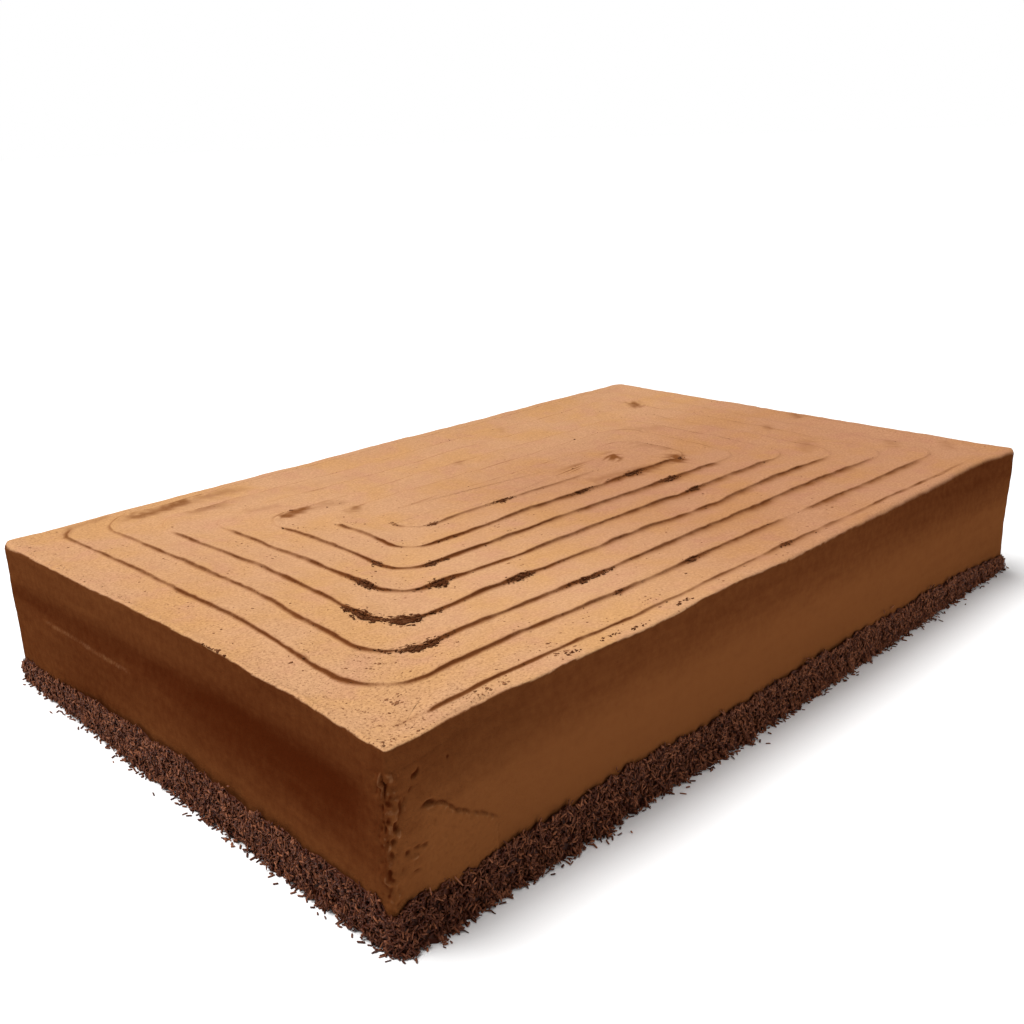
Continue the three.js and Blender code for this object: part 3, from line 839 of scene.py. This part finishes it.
# %% A lump and many lumps
def lump():
    """The twelve points and twenty faces of an icosahedron of radius one."""
    gold = (1 + math.sqrt(5)) / 2
    signs = np.array([(1, 1), (1, -1), (-1, 1), (-1, -1)], float)
    flat = np.column_stack([np.zeros(4), signs * (1, gold)])
    corners = np.concatenate([flat, flat[:, [1, 2, 0]], flat[:, [2, 0, 1]]])
    side = 2.0
    gap = np.linalg.norm(corners[:, None] - corners[None], axis=2)
    close = np.abs(gap - side) < 0.01
    a, b, c = np.nonzero(close[:, :, None] & close[None] & close[:, None, :])
    triangles = np.column_stack([a, b, c])[(a < b) & (b < c)]
    first, second, third = corners[triangles].swapaxes(0, 1)
    normal = np.cross(second - first, third - first)
    inward = (normal * corners[triangles].mean(1)).sum(1) < 0
    triangles[inward] = triangles[inward][:, ::-1]
    return corners / math.hypot(1, gold), triangles


def lumps(centres, sizes, flatness, drawn, seed):
    """A lump at each centre: its points are moved out or in by random shares, and it is stretched and turned.
    Then it is drawn out along a direction of its own, and its height is multiplied by a share of its own."""
    rng = np.random.default_rng(seed)
    corners, triangles = lump()
    count = len(centres)
    shape = corners[None] * rng.uniform(0.65, 1.25, (count, len(corners), 1))
    shape = shape * rng.uniform(0.5, 1.6, (count, 1, 3)) * sizes[:, None, None]
    turned = np.linalg.qr(rng.normal(size=(count, 3, 3)))[0]
    turned = turned * np.sign(np.linalg.det(turned))[:, None, None]
    upright = np.column_stack([np.ones((count, 2)), flatness])
    shape = np.einsum("nij,nkj->nki", turned, shape)
    shape = shape + np.einsum("nki,ni,nj->nkj", shape, drawn, drawn)
    placed = shape * upright[:, None] + centres[:, None]
    numbers = triangles[None] + (np.arange(count) * len(corners))[:, None, None]
    return placed.reshape(-1, 3), numbers.reshape(-1, 3)


print("a lump has", len(lump()[1]), "faces")

# %% [markdown]
# Crumbs follow the lips, specks gather on the top by the near corner, dark marks lie in a few listed spots,
# and pale crumbs lie along the worn left edge. Every kind gives its centres and sizes, and they are joined.

# %% Crumbs, specks and marks
CRUMBS, SPECKS, EDGE_CRUMBS = 5000, 520, 110
SPOT_MARKS, DARK_MARKS = 12, 16
SPECK_SPOTS = np.array([
    (27, 28, 5.5), (30, 31, 3.5), (91, 9, 4.0), (94, 10, 3.0), (6, 6, 3.5), (20, 12, 6.0)])
DARK_SPOTS = np.array([
    (123, 232, 3.0, 1.2, 0.6), (279, 177, 2.0, 2.0, 0.55), (312, 174, 2.4, 2.4, 0.6),
    (334, 143, 2.4, 2.4, 0.7), (6.3, 107, 0.7, 3.0, 0.5), (5.9, 116, 0.6, 2.4, 0.4),
    (163, 5, 3.0, 0.7, 0.4), (129, 2.6, 3.4, 0.5, 0.4), (116, 5, 3.0, 0.9, 0.4), (95, 5, 3.0, 0.8, 0.4)])
FLATNESS, TONES, TONE_SPREADS = (0.6, 0.5, 0.12, 0.5), (0.0, 0.1, 0.5, 2.0), (0.4, 0.3, 0.5, 0.0)
DRAWN_OUT = 1.1


def lip_crumbs(rng):
    """Crumbs spread along the lips, more and larger ones where a lip is torn: their centres and sizes, and
    the directions along the lip in which they are drawn out."""
    weight = (tear_width ** 1.2 + 0.009) * (rise > 0.25)
    spot = rng.choice(LAST + 1, CRUMBS, p=weight / weight.sum())
    scatter = rng.normal(0.35, 0.75, CRUMBS) * (0.35 + 0.75 * tear_width[spot])
    plan = moved(lip_path[spot], outward[spot], scatter) + rng.normal(0, 0.6, (CRUMBS, 2))
    height = bed(plan) + rise[spot] * np.where(scatter < 0.1, 0.9, 0.5)
    sizes = (rng.gamma(2.2, 0.065, CRUMBS) + 0.09) * (0.6 + 0.35 * tear_width[spot])
    return np.column_stack([plan, height]), sizes, outward[spot][:, ::-1] * (-1, 1) * DRAWN_OUT


def top_specks(rng):
    """Specks on points of the flat top, drawn with weights that fall away from the near corner."""
    ids = np.concatenate([*margin_ids[:-1], *band_ids[LAST_CREST:-2]])
    plan = points[ids, :2]
    weight = np.exp(-apart(plan, NEAR_CORNER) / 45) + 0.06 * (1 - smooth(plan.sum(axis=1), -120, 20))
    weight = weight * np.exp(1.6 * waves(plan, 26, 53))
    chosen = rng.choice(ids, SPECKS, p=weight / weight.sum(), replace=False)
    return points[chosen], rng.gamma(2.5, 0.11, SPECKS) + 0.12


def marks_round(rng, spots, count, scatter, sizes, inside, lift):
    """Marks scattered round listed spots of the top and kept a distance inside the two edges that meet at the
    near corner: their centres, raised a little from the bed, and their sizes."""
    plan = np.repeat(spots[:, :2] + NEAR_CORNER, count, axis=0)
    plan = plan + rng.normal(size=plan.shape) * np.repeat(scatter, count, axis=0)
    plan = np.maximum(plan, NEAR_CORNER + inside)
    return np.column_stack([plan, bed(plan) + lift]), rng.gamma(2.2, sizes[0], len(plan)) + sizes[1]


def rim_crumbs(rng):
    """Crumbs scattered round points of the first two rows along the left edge."""
    ids = np.concatenate([row[STARTS[6]:STARTS[6] + SHORT // 2] for row in (side_ids[0], margin_ids[0])])
    centres = points[rng.choice(ids, EDGE_CRUMBS)] + rng.normal(0, 0.5, (EDGE_CRUMBS, 3)) * (1, 1, 0)
    return centres, rng.gamma(2.2, 0.1, EDGE_CRUMBS) + 0.15


rng = np.random.default_rng(51)
lips, lip_sizes, lip_drawn = lip_crumbs(rng)
specks, speck_sizes = top_specks(rng)
marks, mark_sizes = marks_round(rng, SPECK_SPOTS, SPOT_MARKS, 0.7 * SPECK_SPOTS[:, 2:], (0.17, 0.2), 2.0, 0.0)
darks, dark_sizes = marks_round(rng, DARK_SPOTS, DARK_MARKS, DARK_SPOTS[:, 2:4], (0.28, 0.6), 1.5, 0.1)
dark_sizes = dark_sizes * np.repeat(DARK_SPOTS[:, 4], DARK_MARKS)
rims, rim_sizes = rim_crumbs(rng)
centres = np.vstack([lips, darks, specks, marks, rims])
sizes = np.concatenate([lip_sizes, dark_sizes, speck_sizes, mark_sizes, rim_sizes])
kinds = [CRUMBS, len(darks), SPECKS + len(marks), EDGE_CRUMBS]
drawn = np.zeros((len(centres), 3))
drawn[:CRUMBS, :2] = lip_drawn
crumb_points, crumb_faces = lumps(centres, sizes, np.repeat(FLATNESS, kinds), drawn, 52)
crumb_tone = np.repeat(TONES, kinds) + np.repeat(TONE_SPREADS, kinds) * rng.uniform(size=len(centres)) ** 2
crumb_shade = np.repeat(crumb_tone, len(crumb_points) // len(centres))
crumbs = make_piece("icing_crumbs", crumb_points, [crumb_faces], "icing", shade=crumb_shade)

# %% [markdown]
# The bank of sprinkles leans on the foot of the cake, fuller by the near corner than at the far ends. A heap
# could be simulated, but that takes long and never lands twice alike. Here a dark uneven core fills the
# bank, dark as painted shade in the gaps between the rods, and the sprinkles that show lie on its slope.

# %% The core of the bank
BANK_HEIGHT, BANK_FOOT, BANK_TOP = 18.0, 6.4, 0.6
GAP, CORE_INSET = 0.3, 1.1
CORE_ROWS = np.linspace(0, 1, 8)


def bank_size(plan, right_end=(0, 90)):
    """How full the bank is along the outline, from 0 to 1: full by the near corner, and thin at the far ends
    of the two sides that meet there and on the other two sides. The second value gives the distances from
    the right side between which it grows."""
    return smooth(from_far(plan), 0, 130) * smooth(HALF_LENGTH - plan[:, 0], *right_end)


def by_near_corner(plan):
    """1 along the near side close to the near corner, where the bank is a bit lower and narrower, else 0."""
    return window(from_left(plan), 0, 12, 50, 110) * on_near(plan)


def bank_slope(plan, share):
    """How far the slope stands out from the side at a share of its height, with a ragged foot."""
    foot = BANK_FOOT * mix(0.36, 1.0, bank_size(plan, (40, 160))) * (1 - 0.12 * by_near_corner(plan))
    foot = foot * (1 + 0.1 * waves(plan, 15, 65) + 0.12 * waves(plan, 5, 66))
    foot = foot * (1 - 0.55 * on_left(plan)) * (1 - 0.3 * smooth(from_left(plan), 215, 270))
    return BANK_TOP + (foot - BANK_TOP) * (1 - share) ** 1.3


def bank_top(plan):
    """The ragged height of the bank along the outline, lower round the corners of the cake."""
    away = HALF_LENGTH - np.abs(plan[:, 0]) + HALF_WIDTH - np.abs(plan[:, 1])
    dip = (1 - 0.3 * bell(away, 5)) * mix(0.66, 1.0, bank_size(plan)) * (1 - 0.14 * by_near_corner(plan))
    dip = dip * (1 - 0.18 * smooth(from_left(plan), 110, 200))
    return dip * (BANK_HEIGHT + 0.6 * waves(plan, 45, 61) + 0.8 * waves(plan, 8, 62))


wall, wall_out = outline(GAP)
top = bank_top(wall)
core_rows = [np.column_stack([wall, np.zeros(COLUMNS)])]
for share in CORE_ROWS:
    lumpy = 0.45 * waves(np.column_stack([wall, share * top]), 6, 64)
    reach = np.maximum(bank_slope(wall, share) - CORE_INSET + lumpy, 0.2)
    core_rows.append(np.column_stack([moved(wall, wall_out, reach), share * top]))
core_rows.append(np.column_stack([wall, top + 0.2]))
core_ids = number_rows(core_rows)
core_faces = grid_faces([closed(row) for row in core_ids + core_ids[:1]])
# The core carries no shade value, so it takes the darkest chocolate as painted shade between the rods.
core = make_piece("sprinkle_core", np.concatenate(core_rows), [core_faces], "sprinkles")
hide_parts("sprinkle_bank")

# %% [markdown]
# A sprinkle is a short rod with blunt tips, often a little bent. Four sides are enough at this size, so that
# thousands of rods fit in one mesh, and light and shadow break up over them as they do in a real heap.

# %% Rods
SIDES = 4
ROD_RINGS = ((-1.0, 0.0), (-0.8, 0.9), (0.0, 1.0), (0.8, 0.9), (1.0, 0.0))


def rods(centres, axes, lengths, radii, bends):
    """A rod at each centre: rings of points round its axis, at shares of its half length and of its radius,
    with its middle moved sideways by a small bend times one less the share squared."""
    helper = np.where(np.abs(axes[:, 2:]) < 0.8, [[0.0, 0.0, 1.0]], [[1.0, 0.0, 0.0]])
    side = np.cross(axes, helper)
    side /= np.linalg.norm(side, axis=1, keepdims=True)
    other = np.cross(axes, side)
    angle = (np.arange(SIDES) * 2 * np.pi / SIDES)[None, :, None]
    around = side[:, None] * np.cos(angle) + other[:, None] * np.sin(angle)
    parts = []
    for share, width in ROD_RINGS:
        middle = moved(moved(centres, axes, share * lengths / 2), side, bends * (1 - share ** 2))[:, None]
        parts.append(middle + around * (radii * width)[:, None, None] if width else middle)
    points = np.concatenate(parts, axis=1)
    per_rod = points.shape[1]
    rings = [closed(1 + row * SIDES + np.arange(SIDES)) for row in range(len(ROD_RINGS) - 2)]
    groups = fan(0, rings[0][::-1]), fan(per_rod - 1, rings[-1]), grid_faces(rings)
    shift = (np.arange(len(centres)) * per_rod)[:, None, None]
    return points.reshape(-1, 3), [(group[None] + shift).reshape(-1, group.shape[1]) for group in groups]


print("points of a rod", 2 + (len(ROD_RINGS) - 2) * SIDES)

# %% [markdown]
# The rods lie on the slope in every direction. Each gets a random place along the outline and up the slope,
# and is kept clear of the side and of the floor. A few rolled off, and longer strands lie by the near corner.

# %% Laying rods on the bank
STRANDS = np.array([
    (14.7, -1.8, 18.8, 15.3, -1.8, 14.6), (15.3, -1.8, 14.6, 19.9, -2.7, 10.6),
    (25.6, -1.8, 17.3, 29.1, -2.4, 11.6)])
STRAND_RADIUS = 0.3
SLOPE_STEP = 0.05


def along_wall(count, rng):
    """Random places along the outline, spread by its length and by how full the bank is, and the directions
    out of the cake there."""
    slope = wall + wall_out * BANK_FOOT / 2
    steps = apart(np.roll(slope, -1, axis=0), slope)
    gone = np.append(0, np.cumsum(steps * mix(0.5, 1.0, bank_size(wall))))
    place = np.interp(rng.uniform(0, gone[-1], count), gone, np.arange(COLUMNS + 1))
    at = place.astype(int) % COLUMNS
    return mix(wall[at], wall[(at + 1) % COLUMNS], (place % 1)[:, None]), wall_out[at]


def rod_sizes(count, rng):
    """Lengths and radii spread round the usual ones."""
    return np.clip(rng.normal(2.5, 0.6, count), 1.3, 4.2), np.clip(rng.normal(0.36, 0.05, count), 0.26, 0.5)


def bank_rods(count, rng):
    """Rods spread over the slope of the bank: a random place along the outline and up the slope, lying along
    the slope in a random direction with a small tilt, kept above the floor and clear of the side."""
    plan, out = along_wall(count, rng)
    share = rng.uniform(0, 1.02, count)
    share = share + 0.05 * rng.exponential(1.0, count) * (rng.uniform(size=count) < 0.12)
    height = share * bank_top(plan)
    uneven = rng.normal(0.0, 0.4, count) + 0.45 * waves(np.column_stack([plan, height]), 6, 64)
    reach = bank_slope(plan, np.minimum(share, 1)) + uneven
    along = np.column_stack([-out[:, 1], out[:, 0], np.zeros(count)])
    low = np.clip(share, SLOPE_STEP, 1) - SLOPE_STEP
    fall = (bank_slope(plan, low) - bank_slope(plan, low + SLOPE_STEP)) / (SLOPE_STEP * BANK_HEIGHT)
    slope = np.column_stack([-out * fall[:, None], np.ones(count)])
    slope /= np.linalg.norm(slope, axis=1, keepdims=True)
    turn = rng.uniform(0, np.pi, count)
    axes = along * np.cos(turn)[:, None] + slope * np.sin(turn)[:, None]
    axes = axes + np.cross(along, slope) * rng.normal(0, 0.28, (count, 1))
    axes /= np.linalg.norm(axes, axis=1, keepdims=True)
    lengths, radii = rod_sizes(count, rng)
    inner = 0.5 * lengths * np.abs((axes[:, :2] * out).sum(1)) + radii
    lowest = 0.5 * lengths * np.abs(axes[:, 2]) + radii
    plan = moved(plan, out, np.maximum(reach, inner + 0.1))
    return np.column_stack([plan, np.maximum(height, lowest + 0.05)]), axes, lengths, radii


def stray_rods(count, rng):
    """Rods that rolled off and lie flat on the floor, most of them close to the foot of the bank."""
    plan, out = along_wall(count, rng)
    lengths, radii = rod_sizes(count, rng)
    away = bank_slope(plan, 0.0) + 0.2 + rng.exponential(1.0, count).clip(0, 7)
    turn = rng.uniform(0, np.pi, count)
    axes = np.column_stack([np.cos(turn), np.sin(turn), np.zeros(count)])
    return np.column_stack([moved(plan, out, away), radii + 0.02]), axes, lengths, radii


def laid_rods(ends):
    """Longer strands that lie on the slope, each between two places given from the near corner."""
    start, stop = [part + np.append(NEAR_CORNER, 0) for part in np.split(ends, 2, axis=1)]
    lengths = apart(stop, start)
    return (start + stop) / 2, (stop - start) / lengths[:, None], lengths, np.full(len(ends), STRAND_RADIUS)


print("longer strands", len(STRANDS))

# %% [markdown]
# Sprinkles of dark, brown and milky chocolate are mixed in the bank. Each kind is one piece, and each rod
# has a shade of its own, with painted shade by the near corner and painted light towards the far ends.

# %% The sprinkles
KINDS = {
    "sprinkles_dark": (71, 0.12, 0), "sprinkles_brown": (72, 0.4, 0),
    "sprinkles_milky": (73, 0.7, len(STRANDS))}
BANK_RODS, STRAYS = 7820, 240
LOOSE = BANK_RODS + STRAYS
CORNER_PAINTED_SHADE, FAR_PAINTED_LIGHT, NEAR_PAINTED_LIGHT, STRAND_TONE = -0.22, 0.09, 0.06, 1.1
sprinkles = []
for name, (seed, tone, longer) in KINDS.items():
    rng = np.random.default_rng(seed)
    groups = bank_rods(BANK_RODS, rng), stray_rods(STRAYS, rng), laid_rods(STRANDS[:longer])
    placed = [np.concatenate(parts) for parts in zip(*groups)]
    bends = np.append(rng.normal(0, 0.12, LOOSE), np.zeros(longer))
    rod_points, rod_faces = rods(*placed, bends)
    plan = placed[0][:LOOSE, :2]
    away = apart(plan, NEAR_CORNER)
    # Painted light and shade on the rods: darker by the near corner, lighter towards the far ends and to the
    # right.
    lit = CORNER_PAINTED_SHADE * bell(away, 45) + FAR_PAINTED_LIGHT * smooth(away, 110, 260)
    lit = lit + NEAR_PAINTED_LIGHT * smooth(from_left(plan), 120, 220)
    shade = np.clip(tone + lit + rng.normal(0, 0.25, LOOSE), -0.2, 1.5)
    shade = np.append(shade, np.full(longer, STRAND_TONE))
    rod_shade = np.repeat(shade, len(rod_points) // len(shade))
    sprinkles.append(make_piece(name, rod_points, rod_faces, "sprinkles", shade=rod_shade))


# %% [markdown]
# Materials are node trees. They could be wired by hand in the editor, but formulas are easier to read and to
# change: one small class wraps a socket, so that a formula on values reads as Python, and one method adds
# any other node from its type, its settings and its sockets.

# %% Writing materials as formulas
class Wire:
    """An output socket of a node tree, with the operators that the finishes use."""

    def __init__(self, tree, socket=None):
        self.tree = tree
        self.socket = socket

    def node(self, kind, settings, sockets, output=0):
        """Adds a node of a type: settings first, then values or wires for its sockets. Returns one output."""
        made = self.tree.nodes.new(kind)
        for key, value in settings.items():
            setattr(made, key, value)
        for key, value in sockets.items():
            if isinstance(value, Wire):
                self.tree.links.new(value.socket, made.inputs[key])
            else:
                made.inputs[key].default_value = value
        return Wire(self.tree, made.outputs[output] if made.outputs else None)

    def math(self, operation, first, second):
        """A node for one operation on two values."""
        return self.node("ShaderNodeMath", {"operation": operation}, {0: first, 1: second})

    def __add__(self, other):
        return self.math("ADD", self, other)

    __radd__ = __add__

    def __sub__(self, other):
        return self.math("SUBTRACT", self, other)

    def __rsub__(self, other):
        return self.math("SUBTRACT", other, self)

    def __mul__(self, other):
        return self.math("MULTIPLY", self, other)

    __rmul__ = __mul__

    def between(self, low, high):
        """A soft step of this value from 0 at low to 1 at high."""
        settings = {"interpolation_type": "SMOOTHSTEP"}
        return self.node("ShaderNodeMapRange", settings, {"Value": self, "From Min": low, "From Max": high})

    def blend(self, first, second):
        """A colour that goes from the first to the second as this value goes from 0 to 1."""
        return self.node("ShaderNodeMix", {"data_type": "RGBA"}, {0: self, 6: first, 7: second}, 2)

    def tinted(self, tone, share):
        """This colour times a tone, by a share."""
        settings = {"data_type": "RGBA", "blend_type": "MULTIPLY"}
        return self.node("ShaderNodeMix", settings, {0: share, 6: self, 7: tone}, 2)


def new_material(name):
    """An empty material, its tree as a wire to add nodes to, and the object's own coordinates."""
    material = bpy.data.materials.new(name)
    material.use_nodes = True
    material.node_tree.nodes.clear()
    tree = Wire(material.node_tree)
    return material, tree, tree.node("ShaderNodeTexCoord", {}, {}, "Object")


def finish(tree, colour, roughness, specular, height=None, strength=0.6, depth=0.0003):
    """Joins a colour, a roughness and a bump with a strength and a depth in metres to the tree's output."""
    sockets = {"Base Color": colour, "Roughness": roughness, "Specular IOR Level": specular}
    if height is not None:
        bump = {"Strength": strength, "Distance": depth, "Height": height}
        sockets["Normal"] = tree.node("ShaderNodeBump", {}, bump)
    shader = tree.node("ShaderNodeBsdfPrincipled", {}, sockets)
    tree.node("ShaderNodeOutputMaterial", {}, {"Surface": shader})


def noise(tree, where, size, detail=3.0, rough=0.55):
    """Noise whose blotches are about a size across, in metres."""
    sockets = {"Vector": where, "Scale": 1 / size, "Detail": detail, "Roughness": rough}
    return tree.node("ShaderNodeTexNoise", {}, sockets)


def attribute(tree, name):
    """The value that the piece's points carry under a name."""
    return tree.node("ShaderNodeAttribute", {"attribute_name": name}, {}, "Fac")


print("operators ready", [name for name in ("__add__", "__rsub__", "__mul__") if hasattr(Wire, name)])

# %% [markdown]
# The icing is a matt buttercream, pale where it dried and deep where it broke, and deep on the sides, darker
# than the top partly as painted shade. An image would fix the colours to one view, so the finish blends a few
# plain colours by the values on the points, painted shade among them, and by noise: a fine grain, dark specks
# that gather by the near corner, and faint blotches. A painted shade also darkens the top to the right and
# away from the near edge.

# %% The icing's finish
PALE = (0.552, 0.306, 0.160, 1)
WARM = (0.548, 0.294, 0.126, 1)
ROSY = (0.528, 0.274, 0.154, 1)
PAINTED_TOP_SHADE = (0.81, 0.73, 0.745, 1)
# The sides' deep chocolate is darker than the pale top partly as painted shade.
DEEP = (0.180, 0.0615, 0.0185, 1)
SHADED_SIDE = (0.059, 0.0112, 0.0026, 1)
SPECK = (0.13, 0.042, 0.014, 1)
MARK = (0.27, 0.115, 0.050, 1)
TORN = (0.120, 0.037, 0.013, 1)
CRUMB = (0.068, 0.0185, 0.005, 1)
SPECK_SPACING = 0.0042


def icing_material():
    """Matt icing: pale, warm and rosy blotches on top with painted shade to the right, and deep sides with
    painted shade.
    """
    material, tree, where = new_material("chocolate_icing")
    along = tree.node("ShaderNodeMapping", {}, {"Vector": where, "Scale": (1, 1, 7)})
    streak = noise(tree, along, 0.03)
    blotch = noise(tree, where, 0.04).between(0.35, 0.7)
    flush = noise(tree, where, 0.017).between(0.45, 0.75)
    grain = noise(tree, where, 0.0012, 2.0)
    patch = noise(tree, where, 0.005)
    mottle = noise(tree, where, 0.0035, 4.0)
    across, depth = [tree.node("ShaderNodeSeparateXYZ", {}, {"Vector": where}, axis) for axis in "XY"]
    dots = tree.node("ShaderNodeTexVoronoi", {}, {"Vector": where, "Scale": 1 / SPECK_SPACING}, "Distance")
    speck = (1 - dots.between(0.07, 0.16)) * noise(tree, where, 0.03).between(0.5, 0.68)
    pale_share = attribute(tree, "pale") + (patch - 0.5) * 0.3 + (grain - 0.5) * 0.3
    torn_share = attribute(tree, "broken") + (patch - 0.5) * 0.7 + (grain - 0.5) * 0.6
    by_corner = (1 - across.between(-0.235, -0.1)) * (1 - 0.6 * depth.between(-0.152, 0.0))
    pits = noise(tree, where, 0.0011, 3.0, 0.7).between(0.5, 0.72) * (0.25 + by_corner)
    top = (flush * 0.7).blend(blotch.blend(PALE, WARM), ROSY)
    top = (grain.between(0.3, 0.65) * 0.2 + pits * 0.5).blend(top, SPECK)
    # Painted shade: the top darker to the right, less so towards the far edge, and a little away from the
    # near edge on the left.
    inner = across.between(-0.12, 0.04)
    top_shade_share = inner * (1 - 0.66 * depth.between(0.0, 0.1)) + (1 - inner) * 0.16 * depth.between(-0.1, 0.06)
    top = top.tinted(PAINTED_TOP_SHADE, top_shade_share)
    uneven = (streak - 0.5) * 0.3 + (mottle - 0.5) * 0.4
    # The sides go from the deep chocolate to a shaded colour by their painted shade values.
    side = (attribute(tree, "dusk") + uneven).between(-0.1, 1.1).blend(DEEP, SHADED_SIDE)
    colour = pale_share.between(0.1, 0.9).blend(side, top)
    colour = (speck * pale_share * 0.7).blend(colour, SPECK)
    colour = torn_share.between(0.25, 0.75).blend(colour, TORN)
    height = grain * 0.8 + patch * 0.7 - speck * 1.2 - pits * 0.7
    finish(tree, colour, 0.55 + 0.2 * grain, 0.0, height)
    return material


def crumb_material():
    """Broken icing: from nearly black crumbs over brown marks to pale crumbs, by each lump's own shade."""
    material, tree, where = new_material("torn_icing")
    patch = noise(tree, where, 0.0016)
    shade = attribute(tree, "shade")
    colour = (shade + (patch - 0.5) * 0.3).blend(CRUMB, MARK)
    colour = (shade - 1.0).blend(colour, PALE)
    finish(tree, colour, 0.6, 0.02, patch)
    return material


chocolate_icing = icing_material()
for piece in (icing, corner):
    piece.data.materials.append(chocolate_icing)
crumbs.data.materials.append(crumb_material())
print("icing finishes", [material.name for material in bpy.data.materials])

# %% [markdown]
# The sprinkles are chocolate with a dull polish. Each rod has its own shade, from nearly black to milky
# brown, and a little dust. Separate materials for each shade would do as well, but one is easier to keep.

# %% The sprinkles' finish
SPRINKLE_DARK = (0.060, 0.0112, 0.0028, 1)
SPRINKLE_MILKY = (0.325, 0.112, 0.048, 1)


def sprinkle_material():
    """Chocolate between dark and milky by each rod's shade and a fine dust, with a faint gloss."""
    material, tree, where = new_material("chocolate_sprinkles")
    dust = noise(tree, where, 0.0012)
    tone = attribute(tree, "shade") * 0.7 + (dust - 0.5) * 0.3
    colour = tone.between(-0.1, 1.1).blend(SPRINKLE_DARK, SPRINKLE_MILKY)
    finish(tree, colour, 0.36 + 0.2 * dust, 0.18, dust, 0.3, 0.0001)
    return material


chocolate = sprinkle_material()
for piece in [core, *sprinkles]:
    piece.data.materials.append(chocolate)
print("sprinkle finish on", len(sprinkles) + 1, "pieces")

# %% [markdown]
# The cake stands on a plain pale floor, so that nothing draws the eye from it and its shadow shows. The floor
# is wide enough to run out of sight.

# %% Floor
FLOOR_HALF = 40.0
FLOOR_TONES = ((0.94, 0.94, 0.94, 1), (0.97, 0.97, 0.97, 1))
floor_mesh = bpy.data.meshes.new("floor")
floor_corners = [(x * FLOOR_HALF, y * FLOOR_HALF, 0) for x, y in ((-1, -1), (1, -1), (1, 1), (-1, 1))]
floor_mesh.from_pydata(floor_corners, [], [(0, 1, 2, 3)])
floor = bpy.data.objects.new("floor", floor_mesh)
bpy.context.scene.collection.objects.link(floor)


def floor_material():
    """A matt floor with faint blotches between two pale greys."""
    material, tree, where = new_material("pale_floor")
    finish(tree, noise(tree, where, 0.4).blend(*FLOOR_TONES), 0.8, 0.0)
    return material


floor_mesh.materials.append(floor_material())
print("floor", 2 * FLOOR_HALF, "metres wide")

# %% [markdown]
# A wide soft light comes mostly from overhead, so the top is bright and the upright sides stay deep. The
# world adds a little light from everywhere and looks white to the camera.

# %% Light
WORLD_LIGHT, WORLD_SEEN = 0.16, 1.0
world = bpy.data.worlds.new("studio")
world.use_nodes = True
world.node_tree.nodes.clear()
sky = Wire(world.node_tree)
seen = sky.node("ShaderNodeLightPath", {}, {}, "Is Camera Ray")
strength = seen * (WORLD_SEEN - WORLD_LIGHT) + WORLD_LIGHT
background = sky.node("ShaderNodeBackground", {}, {"Color": (1, 1, 1, 1), "Strength": strength})
sky.node("ShaderNodeOutputWorld", {}, {"Surface": background})
bpy.context.scene.world = world


def stand(name, data, place, axes):
    """An object for a lamp or a camera at a place in metres, turned to its axes: right, up and backwards."""
    thing = bpy.data.objects.new(name, data)
    bpy.context.scene.collection.objects.link(thing)
    rows = np.column_stack([*axes, place])
    thing.matrix_world = Matrix([*rows.tolist(), [0, 0, 0, 1]])
    return thing


def lamp(name, kind, place, **settings):
    """A lamp at a place in metres that looks at the middle of the cake's base."""
    light = bpy.data.lights.new(name, kind)
    for key, value in settings.items():
        setattr(light, key, value)
    back = np.array(place) / np.linalg.norm(place)
    across = np.cross((0.0, 1.0, 0.0), back)
    across /= np.linalg.norm(across)
    return stand(name, light, place, (across, np.cross(back, across), back))


lamps = [
    lamp("key", "SUN", (-0.15, 0.5, 1.5), energy=3.0, angle=math.radians(40)),
    lamp("soft", "AREA", (-0.9, 0.45, 1.4), shape="SQUARE", size=0.8, energy=13),
    lamp("fill", "AREA", (0.35, -1.6, 0.55), shape="SQUARE", size=1.0, energy=7)]
bpy.context.scene.view_settings.view_transform = "Standard"
print("lamps", [thing.name for thing in lamps])

# %% [markdown]
# The camera stands low at the near corner, close to the cake, with a normal lens. Its place and its small
# roll come from lining up the edges of the cake with those in the photograph.

# %% Camera
EYE = np.array([-421.7, -410.0, 257.9]) * MM
HEADING, PITCH, ROLL = np.radians([43.8, 18.3, -1.93])
SENSOR, LENS = 36, 40.0
forward = np.array([
    math.sin(HEADING) * math.cos(PITCH), math.cos(HEADING) * math.cos(PITCH), -math.sin(PITCH)])
level = np.array([math.cos(HEADING), -math.sin(HEADING), 0.0])
upright = np.cross(level, forward)
right_axis = math.cos(ROLL) * level + math.sin(ROLL) * upright
up_axis = math.cos(ROLL) * upright - math.sin(ROLL) * level
camera_data = bpy.data.cameras.new("camera")
camera_data.sensor_width = SENSOR
camera_data.lens = LENS
bpy.context.scene.camera = stand("camera", camera_data, EYE, (right_axis, up_axis, -forward))
print("camera at", EYE.round(3), "looking", forward.round(3))
